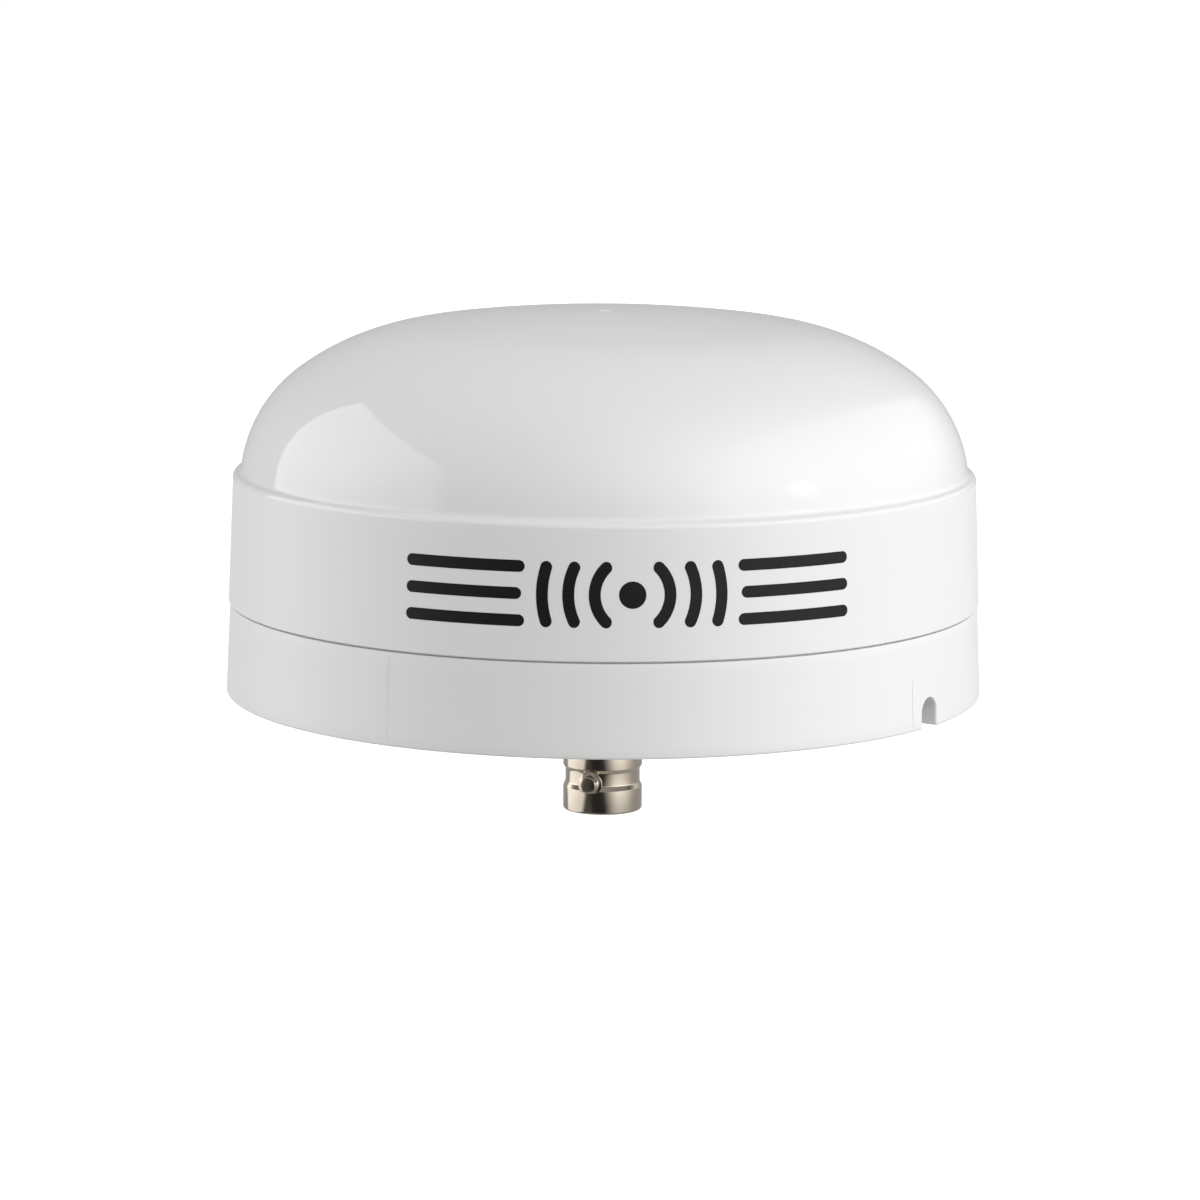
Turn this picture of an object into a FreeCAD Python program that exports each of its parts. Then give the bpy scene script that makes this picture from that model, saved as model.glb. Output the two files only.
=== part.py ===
import FreeCAD
import Part

import math
import os

# Round marine antenna unit of a satellite positioning receiver, on its twist-lock mounting plate.
# Millimetres. The origin is the centre of the deck plane that the plate and the skirt stand on, +Z up.
# Angles are in degrees from +X, turning towards +Y. The front of the unit faces -Y.

# ---- driving dimensions: outside ----
SKIRT_RADIUS = 45.8
SKIRT_TOP_RADIUS = 45.29
SEAM_HEIGHT = 11.1
SEAM_GAP = 0.2
COVER_FOOT_RADIUS = 45.42
LEDGE_FOOT_RADIUS = 44.83
LEDGE_FOOT_HEIGHT = 26.1
APEX_HEIGHT = 46.05
EDGE_BREAK = 0.3

# The dome is three tangent arcs from the apex outwards: radius, and turn in degrees.
CROWN_ARC = (169.5, 7.8)
BROW_ARC = (31.2, 27.8)
SHOULDER_ARC = (17.0, 46.6)
LEDGE_HOLLOW_RADIUS = 0.8
GATE_RADIUS = 0.9
GATE_DEPTH = 0.25

# ---- driving dimensions: cover inside ----
WALL = 2.4
COVER_BORE = 43.0
COVER_BORE_TOP = 23.2
COVER_SHOULDER_TOP = 24.8
SCREW_POST_RADIUS = 3.2
SCREW_POST_TOP = 21.5
POST_RIB_WIDTH = 2.0
COVER_PARTING = 11.1

# ---- driving dimensions: base housing ----
SKIRT_BORE = 42.6
CEILING = 8.0
FLOOR_TOP = 10.5
TONGUE_OUTER = 42.7
TONGUE_INNER = 39.9
TONGUE_TOP = 14.3
SEAL_GROOVE_RADIUS = 41.4
SEAL_GROOVE_LOW = 11.7
SEAL_GROOVE_HIGH = 13.7
SEAL_CORD_RADIUS = 0.76
CUP_OUTER = 11.5
CUP_INNER = 9.0
CUP_BOTTOM = 1.2
CUP_FLOOR_TOP = 3.7
LOCK_SLOT_ANGLE = -33.4
LOCK_SLOT_RADIUS = 1.6
LOCK_AXIS_HEIGHT = 1.96
VENT_RADIUS = 1.5
VENT_AT = (-14.2, 14.2)

# ---- driving dimensions: twist lock ----
LOCK_COUNT = 3
LOCK_FIRST_ANGLE = -110.0
LOCK_SPAN = 22.0
CATCH_INNER = 39.6
CATCH_LOW = 2.4
CATCH_HIGH = 4.2
TAB_INNER = 37.2
TAB_OUTER = 42.2
TAB_LOW = 4.5
TAB_HIGH = 6.5
STOP_SPAN = 4.0
STOP_GAP = 0.5

# ---- driving dimensions: mounting plate ----
PLATE_RADIUS = 39.2
PLATE_TOP = 5.6
PLATE_BORE = 13.5
GASKET_INNER = 30.5
GASKET_OUTER = 35.5
GASKET_DEPTH = 1.2
GASKET_PLAY = 0.2
DECK_SCREW_CIRCLE = 46.0
DECK_SCREW_HOLE = 2.25
DECK_SCREW_HEAD = 4.3
DECK_SCREW_SEAT = 3.0
LOCK_BLOCK_SPAN = 11.0
LOCK_BLOCK_TOP = 4.4
LOCK_BLOCK_INNER = 36.4
LOCK_SCREW_RADIUS = 1.5
LOCK_SCREW_LENGTH = 5.0
LOCK_SCREW_SOCKET = 1.5
LOCK_SCREW_HOLE = 1.52

# ---- driving dimensions: housing screws and their inserts ----
HOUSING_SCREW_RING = 34.0
HOUSING_SCREW_FIRST = 45.0
M3_RADIUS = 1.45
M3_CLEARANCE = 1.7
M3_HEAD_RADIUS = 2.8
M3_HEAD_HEIGHT = 2.0
M3_SOCKET_FLATS = 2.0
HOUSING_SCREW_TIP = 18.0
INSERT_RADIUS = 2.1
INSERT_BORE = 1.5
INSERT_LOW = 11.1
INSERT_HIGH = 17.1
POST_HOLE_TOP = 19.0

# ---- driving dimensions: coaxial jack ----
JACK_MOUTH = -15.0
JACK_COLLAR_RADIUS = 4.825
JACK_COLLAR_TOP = -12.1
JACK_WAIST_LOW = -11.5
JACK_WAIST_HIGH = -9.9
JACK_WAIST_RADIUS = 4.55
JACK_BARREL_LOW = -9.6
JACK_BARREL_TOP = -5.0
JACK_THREAD_TOP = -4.5
JACK_THREAD_RADIUS = 4.75
JACK_RELIEF_RADIUS = 4.5
JACK_HOLE = 4.9
JACK_BORE = 4.05
JACK_BORE_TOP = -5.2
JACK_FLANGE_FLATS = 12.7
JACK_FLANGE_TOP = 6.2
JACK_TAIL_RADIUS = 3.6
JACK_TAIL_TOP = 9.0
LUG_RADIUS = 1.0
LUG_TIP = 5.5
LUG_ROOT = 4.2
LUG_HEIGHT = -11.2
LUG_ANGLE = -109.4
DIELECTRIC_RADIUS = 2.45
DIELECTRIC_BORE = 2.5
DIELECTRIC_MOUTH = -13.5
DIELECTRIC_TOP = 6.0
CONTACT_RADIUS = 0.68
CONTACT_MOUTH = -13.2
CONTACT_BORE = 0.45
CONTACT_BORE_DEPTH = 5.0
CONTACT_TOP = 8.4
CONTACT_SLOT = 0.15
PANEL_SEAL_RING = 5.8
PANEL_SEAL_CORD = 0.55
PANEL_GROOVE = (5.05, 6.55, 1.1)
WASHER_OUTER = 7.0
WASHER_LOW = 0.6
WASHER_TEETH = 10
NUT_LOW = -1.9
NUT_BORE = 4.8

# ---- driving dimensions: circuit board and what it carries ----
BOARD_RADIUS = 30.0
BOARD_LOW = 25.0
BOARD_HIGH = 26.6
STANDOFF_RING = 26.0
STANDOFF_FIRST = 30.0
STANDOFF_FLATS = 5.0
STANDOFF_STUD = 1.4
STANDOFF_STUD_LOW = 8.9
STANDOFF_BORE_LOW = 18.0
BOARD_SCREW_LOW = 19.5
PATCH_SIDE = 25.0
PATCH_LOW = 27.0
PATCH_HIGH = 31.0
PATCH_PAD_SIDE = 24.0
ELECTRODE_SIDE = 21.0
ELECTRODE_HIGH = 31.1
FEED_AT = (0.0, 3.5)
FEED_RADIUS = 0.5
FEED_HOLE = 0.56
FEED_LOW = 23.9
FEED_HEAD_RADIUS = 1.3
FEED_HEAD_HIGH = 31.6
SOLDER_RADIUS = 1.5
SOLDER_LOW = 24.3
SHIELD_CENTRE = (-14.5, 0.0)
SHIELD_SIZE = (22.0, 16.0)
SHIELD_SHEET = 0.3
SHIELD_LOW = 22.2
CABLE_RADIUS = 0.9
CABLE_BEND = 6.0
CABLE_TURN = 60.0
CABLE_SLOPE_RUN = 2.0
PLUG_LOW = 22.0
PLUG_FLOOR = 22.5
PLUG_TOP = 23.8
PLUG_OUTER = 2.6
PLUG_INNER = 1.9
SOCKET_RADIUS = 1.8
SOCKET_BORE = 1.0
SOCKET_LOW = 22.7
SOCKET_FOOT = 24.0
SOCKET_FOOT_SIDE = 5.0
PLUG_PIN_RADIUS = 0.4
VENT_FILM_RADIUS = 4.0
VENT_FILM_THICKNESS = 0.3
WASHER_GAP = (1.2, 0.9, 0.3)
NUT_CHAMFER = 0.6
CHIP_EDGE = 0.08

# Rows of chips inside the shield: size along, size across, height, place across, first place along, pitch, count.
FILTER_ROW = (3.0, 3.0, 1.2, -3.5, 0.0, 0.0, 1)
AMPLIFIER_ROW = (2.0, 2.0, 0.8, -3.5, -5.5, 11.0, 2)
REGULATOR_ROW = (3.0, 1.7, 1.1, 3.5, -6.0, 0.0, 1)
INDUCTOR_ROW = (1.6, 0.8, 0.8, 0.0, -7.5, 4.0, 4)
CAPACITOR_ROW = (1.0, 0.5, 0.5, 6.2, -7.5, 2.6, 6)
RESISTOR_ROW = (1.0, 0.5, 0.35, 1.8, -1.0, 2.0, 5)

UP = FreeCAD.Vector(0, 0, 1)


def point(x, y, z):
    return FreeCAD.Vector(x, y, z)


def turned(shape, degrees):
    """A copy of the shape turned about the unit's own axis."""
    copy = shape.copy()
    copy.rotate(point(0, 0, 0), UP, degrees)
    return copy


def spread(shape, count, first=0.0):
    """Copies of a shape made at angle 0, evenly round the axis, starting at the first angle."""
    return [turned(shape, first + 360.0 * i / count) for i in range(count)]


def cylinder(radius, low, high, x=0.0, y=0.0):
    return Part.makeCylinder(radius, high - low, point(x, y, low))


def tube(inner, outer, low, high, x=0.0, y=0.0):
    return cylinder(outer, low, high, x, y).cut(cylinder(inner, low, high, x, y))


def block(size_x, size_y, low, high, x=0.0, y=0.0):
    return Part.makeBox(size_x, size_y, high - low, point(x - size_x / 2, y - size_y / 2, low))


def hexagon(flats, low, high, x=0.0, y=0.0):
    corner = flats / math.sqrt(3)
    corners = [
        point(x + corner * math.cos(math.radians(60 * i)), y + corner * math.sin(math.radians(60 * i)), low)
        for i in range(7)
    ]
    return Part.Face(Part.makePolygon(corners)).extrude(point(0, 0, high - low))


def revolved(outline):
    """A full turn of a closed outline given as (radius, height) points."""
    corners = [point(r, 0, z) for r, z in outline]
    face = Part.Face(Part.makePolygon(corners + corners[:1]))
    return face.revolve(point(0, 0, 0), UP, 360)


def sector(inner, outer, low, high, middle, span):
    """Part of a ring, from angle middle - span/2 to middle + span/2."""
    corners = [point(inner, 0, low), point(outer, 0, low), point(outer, 0, high), point(inner, 0, high)]
    face = Part.Face(Part.makePolygon(corners + corners[:1]))
    return turned(face.revolve(point(0, 0, 0), UP, span), middle - span / 2)


def torus(ring, cord, height):
    return Part.makeTorus(ring, cord, point(0, 0, height), UP)


def save(name, shape):
    if not shape.isValid():
        raise ValueError(name + " is not a valid shape")
    shape.exportStep("parts/" + name + ".step")
    print("%-24s %2d solid(s) %10.2f mm3" % (name, len(shape.Solids), shape.Volume))


def save_group(name, shapes):
    save(name, Part.Compound(shapes))


class Outline:
    """A run of tangent lines and arcs in the XZ plane. The heading is in degrees below level."""

    def __init__(self, x, z, heading=0.0):
        self.x = x
        self.z = z
        self.heading = heading
        self.edges = []

    def _ahead(self, along, down):
        """The place that is so far along the heading, and so far to its lower side."""
        angle = math.radians(self.heading)
        x = self.x + along * math.cos(angle) - down * math.sin(angle)
        z = self.z - along * math.sin(angle) - down * math.cos(angle)
        return point(x, 0, z)

    def line(self, length):
        start = self._ahead(0, 0)
        end = self._ahead(length, 0)
        self.edges.append(Part.LineSegment(start, end).toShape())
        self.x, self.z = end.x, end.z

    def line_down_to(self, height):
        self.line((self.z - height) / math.sin(math.radians(self.heading)))

    def arc(self, radius, turn):
        """Turns down for a positive turn, up for a negative one."""
        side = math.copysign(1.0, turn)
        places = []
        for share in (0.0, 0.5, 1.0):
            angle = math.radians(abs(turn) * share)
            places.append(self._ahead(radius * math.sin(angle), side * radius * (1 - math.cos(angle))))
        self.edges.append(Part.Arc(places[0], places[1], places[2]).toShape())
        self.x, self.z = places[2].x, places[2].z
        self.heading += turn

    def lines_to(self, places):
        for x, z in places:
            end = point(x, 0, z)
            self.edges.append(Part.LineSegment(self._ahead(0, 0), end).toShape())
            self.x, self.z = x, z


def dome_outside():
    """The outside of the cover from the apex down to its foot, as an open outline."""
    band_run = LEDGE_FOOT_HEIGHT - COVER_PARTING
    band_heading = 90 - math.degrees(math.atan2(COVER_FOOT_RADIUS - LEDGE_FOOT_RADIUS, band_run))
    pen = Outline(0.0, APEX_HEIGHT)
    for radius, turn in (CROWN_ARC, BROW_ARC, SHOULDER_ARC):
        pen.arc(radius, turn)
    step = LEDGE_FOOT_RADIUS - pen.x
    drop = pen.z - LEDGE_FOOT_HEIGHT
    swing = 2 * math.degrees(math.atan2(step, drop)) - (90 - pen.heading)
    reach = drop / math.sin(math.radians(swing))
    pen.arc(LEDGE_HOLLOW_RADIUS, -swing)
    pen.arc(reach - LEDGE_HOLLOW_RADIUS, band_heading - pen.heading)
    pen.line_down_to(COVER_PARTING)
    return pen


def cover_shell():
    pen = dome_outside()
    inside = Outline(0.0, APEX_HEIGHT - WALL)
    for radius, turn in (CROWN_ARC, BROW_ARC, SHOULDER_ARC):
        inside.arc(radius - WALL, turn)
    inside.line_down_to(COVER_SHOULDER_TOP)
    pen.lines_to([(COVER_BORE, COVER_PARTING), (COVER_BORE, COVER_BORE_TOP), (inside.x, inside.z)])
    closing = Part.LineSegment(point(0, 0, APEX_HEIGHT - WALL), point(0, 0, APEX_HEIGHT)).toShape()
    pen.edges += inside.edges + [closing]
    ordered = Part.__sortEdges__(pen.edges)
    return Part.Face(Part.Wire(ordered)).revolve(point(0, 0, 0), UP, 360)


def radome_cover():
    shell = cover_shell()
    post = cylinder(SCREW_POST_RADIUS, COVER_PARTING, SCREW_POST_TOP, HOUSING_SCREW_RING)
    rib_middle = (HOUSING_SCREW_RING + COVER_BORE) / 2
    rib_length = COVER_BORE - HOUSING_SCREW_RING + 1.0
    rib = block(rib_length, POST_RIB_WIDTH, TONGUE_TOP + 0.4, SCREW_POST_TOP, rib_middle)
    hole = cylinder(INSERT_RADIUS, COVER_PARTING, POST_HOLE_TOP, HOUSING_SCREW_RING)
    posts = spread(post.fuse(rib), 4, HOUSING_SCREW_FIRST)
    holes = spread(hole, 4, HOUSING_SCREW_FIRST)
    gate = cylinder(GATE_RADIUS, APEX_HEIGHT - GATE_DEPTH, APEX_HEIGHT + 1)
    return shell.fuse(posts).removeSplitter().cut(holes + [gate])


def lock_slot():
    """The arched slot through the skirt's lower edge, made at angle 0 and turned to its place."""
    length = 8.0
    start = SKIRT_RADIUS - length / 2
    arch = Part.makeCylinder(LOCK_SLOT_RADIUS, length, point(start, 0, LOCK_AXIS_HEIGHT), point(1, 0, 0))
    legs = block(length, 2 * LOCK_SLOT_RADIUS, -1.0, LOCK_AXIS_HEIGHT, start + length / 2)
    return turned(arch.fuse(legs), LOCK_SLOT_ANGLE)


def base_housing():
    shell = revolved([
        (SKIRT_BORE, 0), (SKIRT_RADIUS - EDGE_BREAK, 0), (SKIRT_RADIUS, EDGE_BREAK),
        (SKIRT_TOP_RADIUS, SEAM_HEIGHT - SEAM_GAP - EDGE_BREAK / 2),
        (SKIRT_TOP_RADIUS - EDGE_BREAK / 2, SEAM_HEIGHT - SEAM_GAP),
        (SKIRT_TOP_RADIUS - 2 * EDGE_BREAK, SEAM_HEIGHT - SEAM_GAP),
        (SKIRT_TOP_RADIUS - 2 * EDGE_BREAK, SEAM_HEIGHT), (TONGUE_OUTER, SEAM_HEIGHT),
        (TONGUE_OUTER, SEAL_GROOVE_LOW), (SEAL_GROOVE_RADIUS, SEAL_GROOVE_LOW),
        (SEAL_GROOVE_RADIUS, SEAL_GROOVE_HIGH), (TONGUE_OUTER, SEAL_GROOVE_HIGH),
        (TONGUE_OUTER, TONGUE_TOP), (TONGUE_INNER, TONGUE_TOP), (TONGUE_INNER, FLOOR_TOP),
        (CUP_INNER, FLOOR_TOP), (CUP_INNER, CUP_FLOOR_TOP), (PANEL_GROOVE[1], CUP_FLOOR_TOP),
        (PANEL_GROOVE[1], CUP_FLOOR_TOP - PANEL_GROOVE[2]), (PANEL_GROOVE[0], CUP_FLOOR_TOP - PANEL_GROOVE[2]),
        (JACK_HOLE, CUP_FLOOR_TOP - PANEL_GROOVE[2]), (JACK_HOLE, CUP_BOTTOM), (CUP_OUTER, CUP_BOTTOM),
        (CUP_OUTER, CEILING), (SKIRT_BORE, CEILING),
    ])
    catch = sector(CATCH_INNER, SKIRT_BORE + 1, CATCH_LOW, CATCH_HIGH, 0, LOCK_SPAN)
    screw_hole = cylinder(M3_CLEARANCE, CEILING - 1, COVER_PARTING + 1, HOUSING_SCREW_RING)
    post_seat = cylinder(SCREW_POST_RADIUS + 0.3, FLOOR_TOP, TONGUE_TOP + 1, HOUSING_SCREW_RING)
    stud_hole = cylinder(STANDOFF_STUD + 0.05, STANDOFF_STUD_LOW - 0.1, FLOOR_TOP + 1, STANDOFF_RING)
    vent = cylinder(VENT_RADIUS, CEILING - 1, FLOOR_TOP + 1, VENT_AT[0], VENT_AT[1])
    cuts = spread(screw_hole, 4, HOUSING_SCREW_FIRST) + spread(post_seat, 4, HOUSING_SCREW_FIRST)
    cuts += spread(stud_hole, 4, STANDOFF_FIRST) + [vent, lock_slot()]
    return shell.fuse(spread(catch, LOCK_COUNT, LOCK_FIRST_ANGLE)).removeSplitter().cut(cuts)


def mount_plate():
    plate = tube(PLATE_BORE, PLATE_RADIUS, 0, PLATE_TOP)
    tab = sector(TAB_INNER, TAB_OUTER, TAB_LOW, TAB_HIGH, 0, LOCK_SPAN)
    stop_middle = -LOCK_SPAN / 2 - STOP_GAP - STOP_SPAN / 2
    stop = sector(TAB_INNER, TAB_OUTER, CATCH_LOW - 0.2, TAB_HIGH, stop_middle, STOP_SPAN)
    bridge = sector(TAB_INNER, TAB_OUTER, TAB_LOW, TAB_HIGH, -LOCK_SPAN / 2 - STOP_GAP, 2 * STOP_GAP)
    lock_block = sector(TAB_INNER, TAB_OUTER, 0, LOCK_BLOCK_TOP, LOCK_SLOT_ANGLE, LOCK_BLOCK_SPAN)
    lugs = spread(tab.fuse([stop, bridge]), LOCK_COUNT, LOCK_FIRST_ANGLE)
    groove = tube(GASKET_INNER, GASKET_OUTER, -1, GASKET_DEPTH)
    screw_hole = cylinder(DECK_SCREW_HOLE, -1, PLATE_TOP + 1, DECK_SCREW_CIRCLE / 2)
    head_seat = cylinder(DECK_SCREW_HEAD, DECK_SCREW_SEAT, PLATE_TOP + 1, DECK_SCREW_CIRCLE / 2)
    lock_hole = Part.makeCylinder(
        LOCK_SCREW_HOLE, TAB_OUTER - LOCK_BLOCK_INNER + 1,
        point(LOCK_BLOCK_INNER, 0, LOCK_AXIS_HEIGHT), point(1, 0, 0))
    cuts = spread(screw_hole, 3, 90) + spread(head_seat, 3, 90)
    cuts += [groove, turned(lock_hole, LOCK_SLOT_ANGLE)]
    return plate.fuse(lugs + [lock_block]).removeSplitter().cut(cuts)


def deck_gasket():
    return tube(GASKET_INNER + GASKET_PLAY, GASKET_OUTER - GASKET_PLAY, 0, GASKET_DEPTH)


def lock_screw():
    """Headless screw, turned in until its outer end is flush with the plate's rim."""
    outer_end = TAB_OUTER - 0.3
    start = outer_end - LOCK_SCREW_LENGTH
    shank = Part.makeCylinder(LOCK_SCREW_RADIUS, LOCK_SCREW_LENGTH, point(start, 0, 0), point(1, 0, 0))
    socket = hexagon(LOCK_SCREW_SOCKET, 0, 1.6)
    socket.rotate(point(0, 0, 0), point(0, 1, 0), 90)
    socket.translate(point(outer_end - 1.5, 0, 0))
    screw = shank.makeChamfer(0.3, [shank.Edges[0], shank.Edges[2]]).cut(socket)
    screw.translate(point(0, 0, LOCK_AXIS_HEIGHT))
    return turned(screw, LOCK_SLOT_ANGLE)


def cap_screw(under_head, tip, head_below, x):
    """Socket cap screw along Z at (x, 0), with its head below or above the face it clamps."""
    side = -1 if head_below else 1
    crown = under_head + side * M3_HEAD_HEIGHT
    head = cylinder(M3_HEAD_RADIUS, min(under_head, crown), max(under_head, crown), x)
    shank = cylinder(M3_RADIUS, min(under_head, tip), max(under_head, tip), x)
    socket_end = crown - side * 1.2
    socket = hexagon(M3_SOCKET_FLATS, min(crown, socket_end), max(crown, socket_end), x)
    rims = [e for e in head.Edges if abs(e.CenterOfMass.z - crown) < 0.01]
    return head.makeChamfer(0.3, rims).fuse(shank).cut(socket)


def housing_screws():
    return spread(cap_screw(CEILING, HOUSING_SCREW_TIP, True, HOUSING_SCREW_RING), 4, HOUSING_SCREW_FIRST)


def cover_inserts():
    insert = tube(INSERT_BORE, INSERT_RADIUS, INSERT_LOW, INSERT_HIGH, HOUSING_SCREW_RING)
    return spread(insert, 4, HOUSING_SCREW_FIRST)


def jack_body():
    shell = revolved([
        (JACK_BORE, JACK_MOUTH), (JACK_COLLAR_RADIUS - EDGE_BREAK, JACK_MOUTH),
        (JACK_COLLAR_RADIUS, JACK_MOUTH + EDGE_BREAK), (JACK_COLLAR_RADIUS, JACK_COLLAR_TOP),
        (JACK_WAIST_RADIUS, JACK_WAIST_LOW), (JACK_WAIST_RADIUS, JACK_WAIST_HIGH),
        (JACK_COLLAR_RADIUS, JACK_BARREL_LOW), (JACK_COLLAR_RADIUS, JACK_BARREL_TOP),
        (JACK_RELIEF_RADIUS, JACK_BARREL_TOP), (JACK_RELIEF_RADIUS, JACK_THREAD_TOP),
        (JACK_THREAD_RADIUS, JACK_THREAD_TOP), (JACK_THREAD_RADIUS, CUP_FLOOR_TOP + 0.5),
        (JACK_TAIL_RADIUS, CUP_FLOOR_TOP + 0.5), (JACK_TAIL_RADIUS, JACK_TAIL_TOP),
        (DIELECTRIC_BORE, JACK_TAIL_TOP), (DIELECTRIC_BORE, JACK_BORE_TOP), (JACK_BORE, JACK_BORE_TOP),
    ])
    flange = hexagon(JACK_FLANGE_FLATS, CUP_FLOOR_TOP, JACK_FLANGE_TOP)
    flange = flange.cut(cylinder(DIELECTRIC_BORE, CUP_FLOOR_TOP, JACK_FLANGE_TOP))
    lug = Part.makeCylinder(LUG_RADIUS, LUG_TIP - LUG_ROOT, point(LUG_ROOT, 0, LUG_HEIGHT), point(1, 0, 0))
    return shell.fuse([flange] + spread(lug, 2, LUG_ANGLE)).removeSplitter()


def jack_dielectric():
    return tube(CONTACT_RADIUS, DIELECTRIC_RADIUS, DIELECTRIC_MOUTH, DIELECTRIC_TOP)


def jack_contact():
    pin = cylinder(CONTACT_RADIUS, CONTACT_MOUTH, CONTACT_TOP)
    bore = cylinder(CONTACT_BORE, CONTACT_MOUTH - 1, CONTACT_MOUTH + CONTACT_BORE_DEPTH)
    slot = block(2 * CONTACT_RADIUS + 1, CONTACT_SLOT, CONTACT_MOUTH - 1, CONTACT_MOUTH + 3)
    return pin.cut([bore, slot, turned(slot, 90)])


def jack_washer():
    """Lock washer with a ring of inward teeth."""
    washer = tube(JACK_HOLE, WASHER_OUTER, WASHER_LOW, CUP_BOTTOM)
    depth, width, offset = WASHER_GAP
    gap = block(depth, width, WASHER_LOW - 1, CUP_BOTTOM + 1, JACK_HOLE + offset)
    return washer.cut(spread(gap, WASHER_TEETH))


def jack_nut():
    nut = hexagon(JACK_FLANGE_FLATS, NUT_LOW, WASHER_LOW)
    corner = JACK_FLANGE_FLATS / math.sqrt(3)
    slope = 2.2
    widest = corner - NUT_CHAMFER + slope
    rounding = Part.makeCone(corner - NUT_CHAMFER, widest, slope, point(0, 0, NUT_LOW))
    rounding = rounding.fuse(cylinder(widest, NUT_LOW + slope, WASHER_LOW + 1))
    return nut.common(rounding).cut(cylinder(NUT_BORE, NUT_LOW - 1, WASHER_LOW + 1))


def circuit_board():
    board = cylinder(BOARD_RADIUS, BOARD_LOW, BOARD_HIGH)
    screw_hole = cylinder(M3_RADIUS + 0.15, BOARD_LOW - 1, BOARD_HIGH + 1, STANDOFF_RING)
    feed_hole = cylinder(FEED_HOLE, BOARD_LOW - 1, BOARD_HIGH + 1, FEED_AT[0], FEED_AT[1])
    return board.cut(spread(screw_hole, 4, STANDOFF_FIRST) + [feed_hole])


def board_standoffs():
    body = hexagon(STANDOFF_FLATS, FLOOR_TOP, BOARD_LOW, STANDOFF_RING)
    stud = cylinder(STANDOFF_STUD, STANDOFF_STUD_LOW, FLOOR_TOP, STANDOFF_RING)
    bore = cylinder(M3_RADIUS + 0.05, STANDOFF_BORE_LOW, BOARD_LOW + 1, STANDOFF_RING)
    return spread(body.fuse(stud).cut(bore), 4, STANDOFF_FIRST)


def board_screws():
    return spread(cap_screw(BOARD_HIGH, BOARD_SCREW_LOW, False, STANDOFF_RING), 4, STANDOFF_FIRST)


def square_with_feed_hole(side, low, high):
    hole = cylinder(FEED_HOLE, low - 1, high + 1, FEED_AT[0], FEED_AT[1])
    return block(side, side, low, high).cut(hole)


def feed_pin():
    shank = cylinder(FEED_RADIUS, FEED_LOW, ELECTRODE_HIGH, FEED_AT[0], FEED_AT[1])
    return shank.fuse(cylinder(FEED_HEAD_RADIUS, ELECTRODE_HIGH, FEED_HEAD_HIGH, FEED_AT[0], FEED_AT[1]))


def feed_solder():
    height = BOARD_LOW - SOLDER_LOW
    fillet = Part.makeCone(FEED_RADIUS + 0.2, SOLDER_RADIUS, height, point(FEED_AT[0], FEED_AT[1], SOLDER_LOW))
    return fillet.cut(cylinder(FEED_RADIUS, SOLDER_LOW - 1, BOARD_LOW + 1, FEED_AT[0], FEED_AT[1]))


def shield_frame():
    outer = block(SHIELD_SIZE[0], SHIELD_SIZE[1], SHIELD_LOW, BOARD_LOW, *SHIELD_CENTRE)
    inner_x = SHIELD_SIZE[0] - 2 * SHIELD_SHEET
    inner_y = SHIELD_SIZE[1] - 2 * SHIELD_SHEET
    return outer.cut(block(inner_x, inner_y, SHIELD_LOW - 1, BOARD_LOW + 1, *SHIELD_CENTRE))


def shield_lid():
    size_x = SHIELD_SIZE[0] + 2 * SHIELD_SHEET + 0.1
    size_y = SHIELD_SIZE[1] + 2 * SHIELD_SHEET + 0.1
    cap = block(size_x, size_y, SHIELD_LOW - SHIELD_SHEET, SHIELD_LOW + 1.5, *SHIELD_CENTRE)
    inside = block(SHIELD_SIZE[0] + 0.1, SHIELD_SIZE[1] + 0.1, SHIELD_LOW, SHIELD_LOW + 2, *SHIELD_CENTRE)
    return cap.cut(inside)


def chip(size_x, size_y, height, along, across):
    """A component under the board, placed from the middle of the shield."""
    x = SHIELD_CENTRE[0] + along
    y = SHIELD_CENTRE[1] + across
    body = block(size_x, size_y, BOARD_LOW - height, BOARD_LOW, x, y)
    lower_rim = [e for e in body.Edges if abs(e.CenterOfMass.z - (BOARD_LOW - height)) < 0.01]
    return body.makeChamfer(CHIP_EDGE, lower_rim)


def chip_row(row):
    size_x, size_y, height, across, first, pitch, count = row
    return [chip(size_x, size_y, height, first + i * pitch, across) for i in range(count)]


def signal_cable():
    """Coaxial lead from the back of the jack up to the board, an S of two bends."""
    rise = 2 * CABLE_BEND * math.sin(math.radians(CABLE_TURN))
    rise += CABLE_SLOPE_RUN * math.cos(math.radians(CABLE_TURN))
    straight = (PLUG_LOW - JACK_TAIL_TOP - rise) / 2
    pen = Outline(0.0, JACK_TAIL_TOP, -90.0)
    pen.line(straight)
    pen.arc(CABLE_BEND, CABLE_TURN)
    pen.line(CABLE_SLOPE_RUN)
    pen.arc(CABLE_BEND, -CABLE_TURN)
    pen.line(straight)
    route = Part.Wire(pen.edges)
    section = Part.Wire([Part.Circle(point(0, 0, JACK_TAIL_TOP), UP, CABLE_RADIUS).toShape()])
    lead = route.makePipeShell([section], True, True)
    print("cable volume over section times length: %.4f"
          % (lead.Volume / (math.pi * CABLE_RADIUS**2 * route.Length)))
    return lead


def socket_offset():
    """How far the cable's S carries it sideways, which is where the board's socket is."""
    return (2 * CABLE_BEND * (1 - math.cos(math.radians(CABLE_TURN)))
            + CABLE_SLOPE_RUN * math.sin(math.radians(CABLE_TURN)))


def cable_plug():
    x = socket_offset()
    cup = cylinder(PLUG_OUTER, PLUG_LOW, PLUG_TOP, x).cut(cylinder(PLUG_INNER, PLUG_FLOOR, PLUG_TOP + 1, x))
    return cup.fuse(cylinder(PLUG_PIN_RADIUS, PLUG_FLOOR, PLUG_TOP, x))


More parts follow.
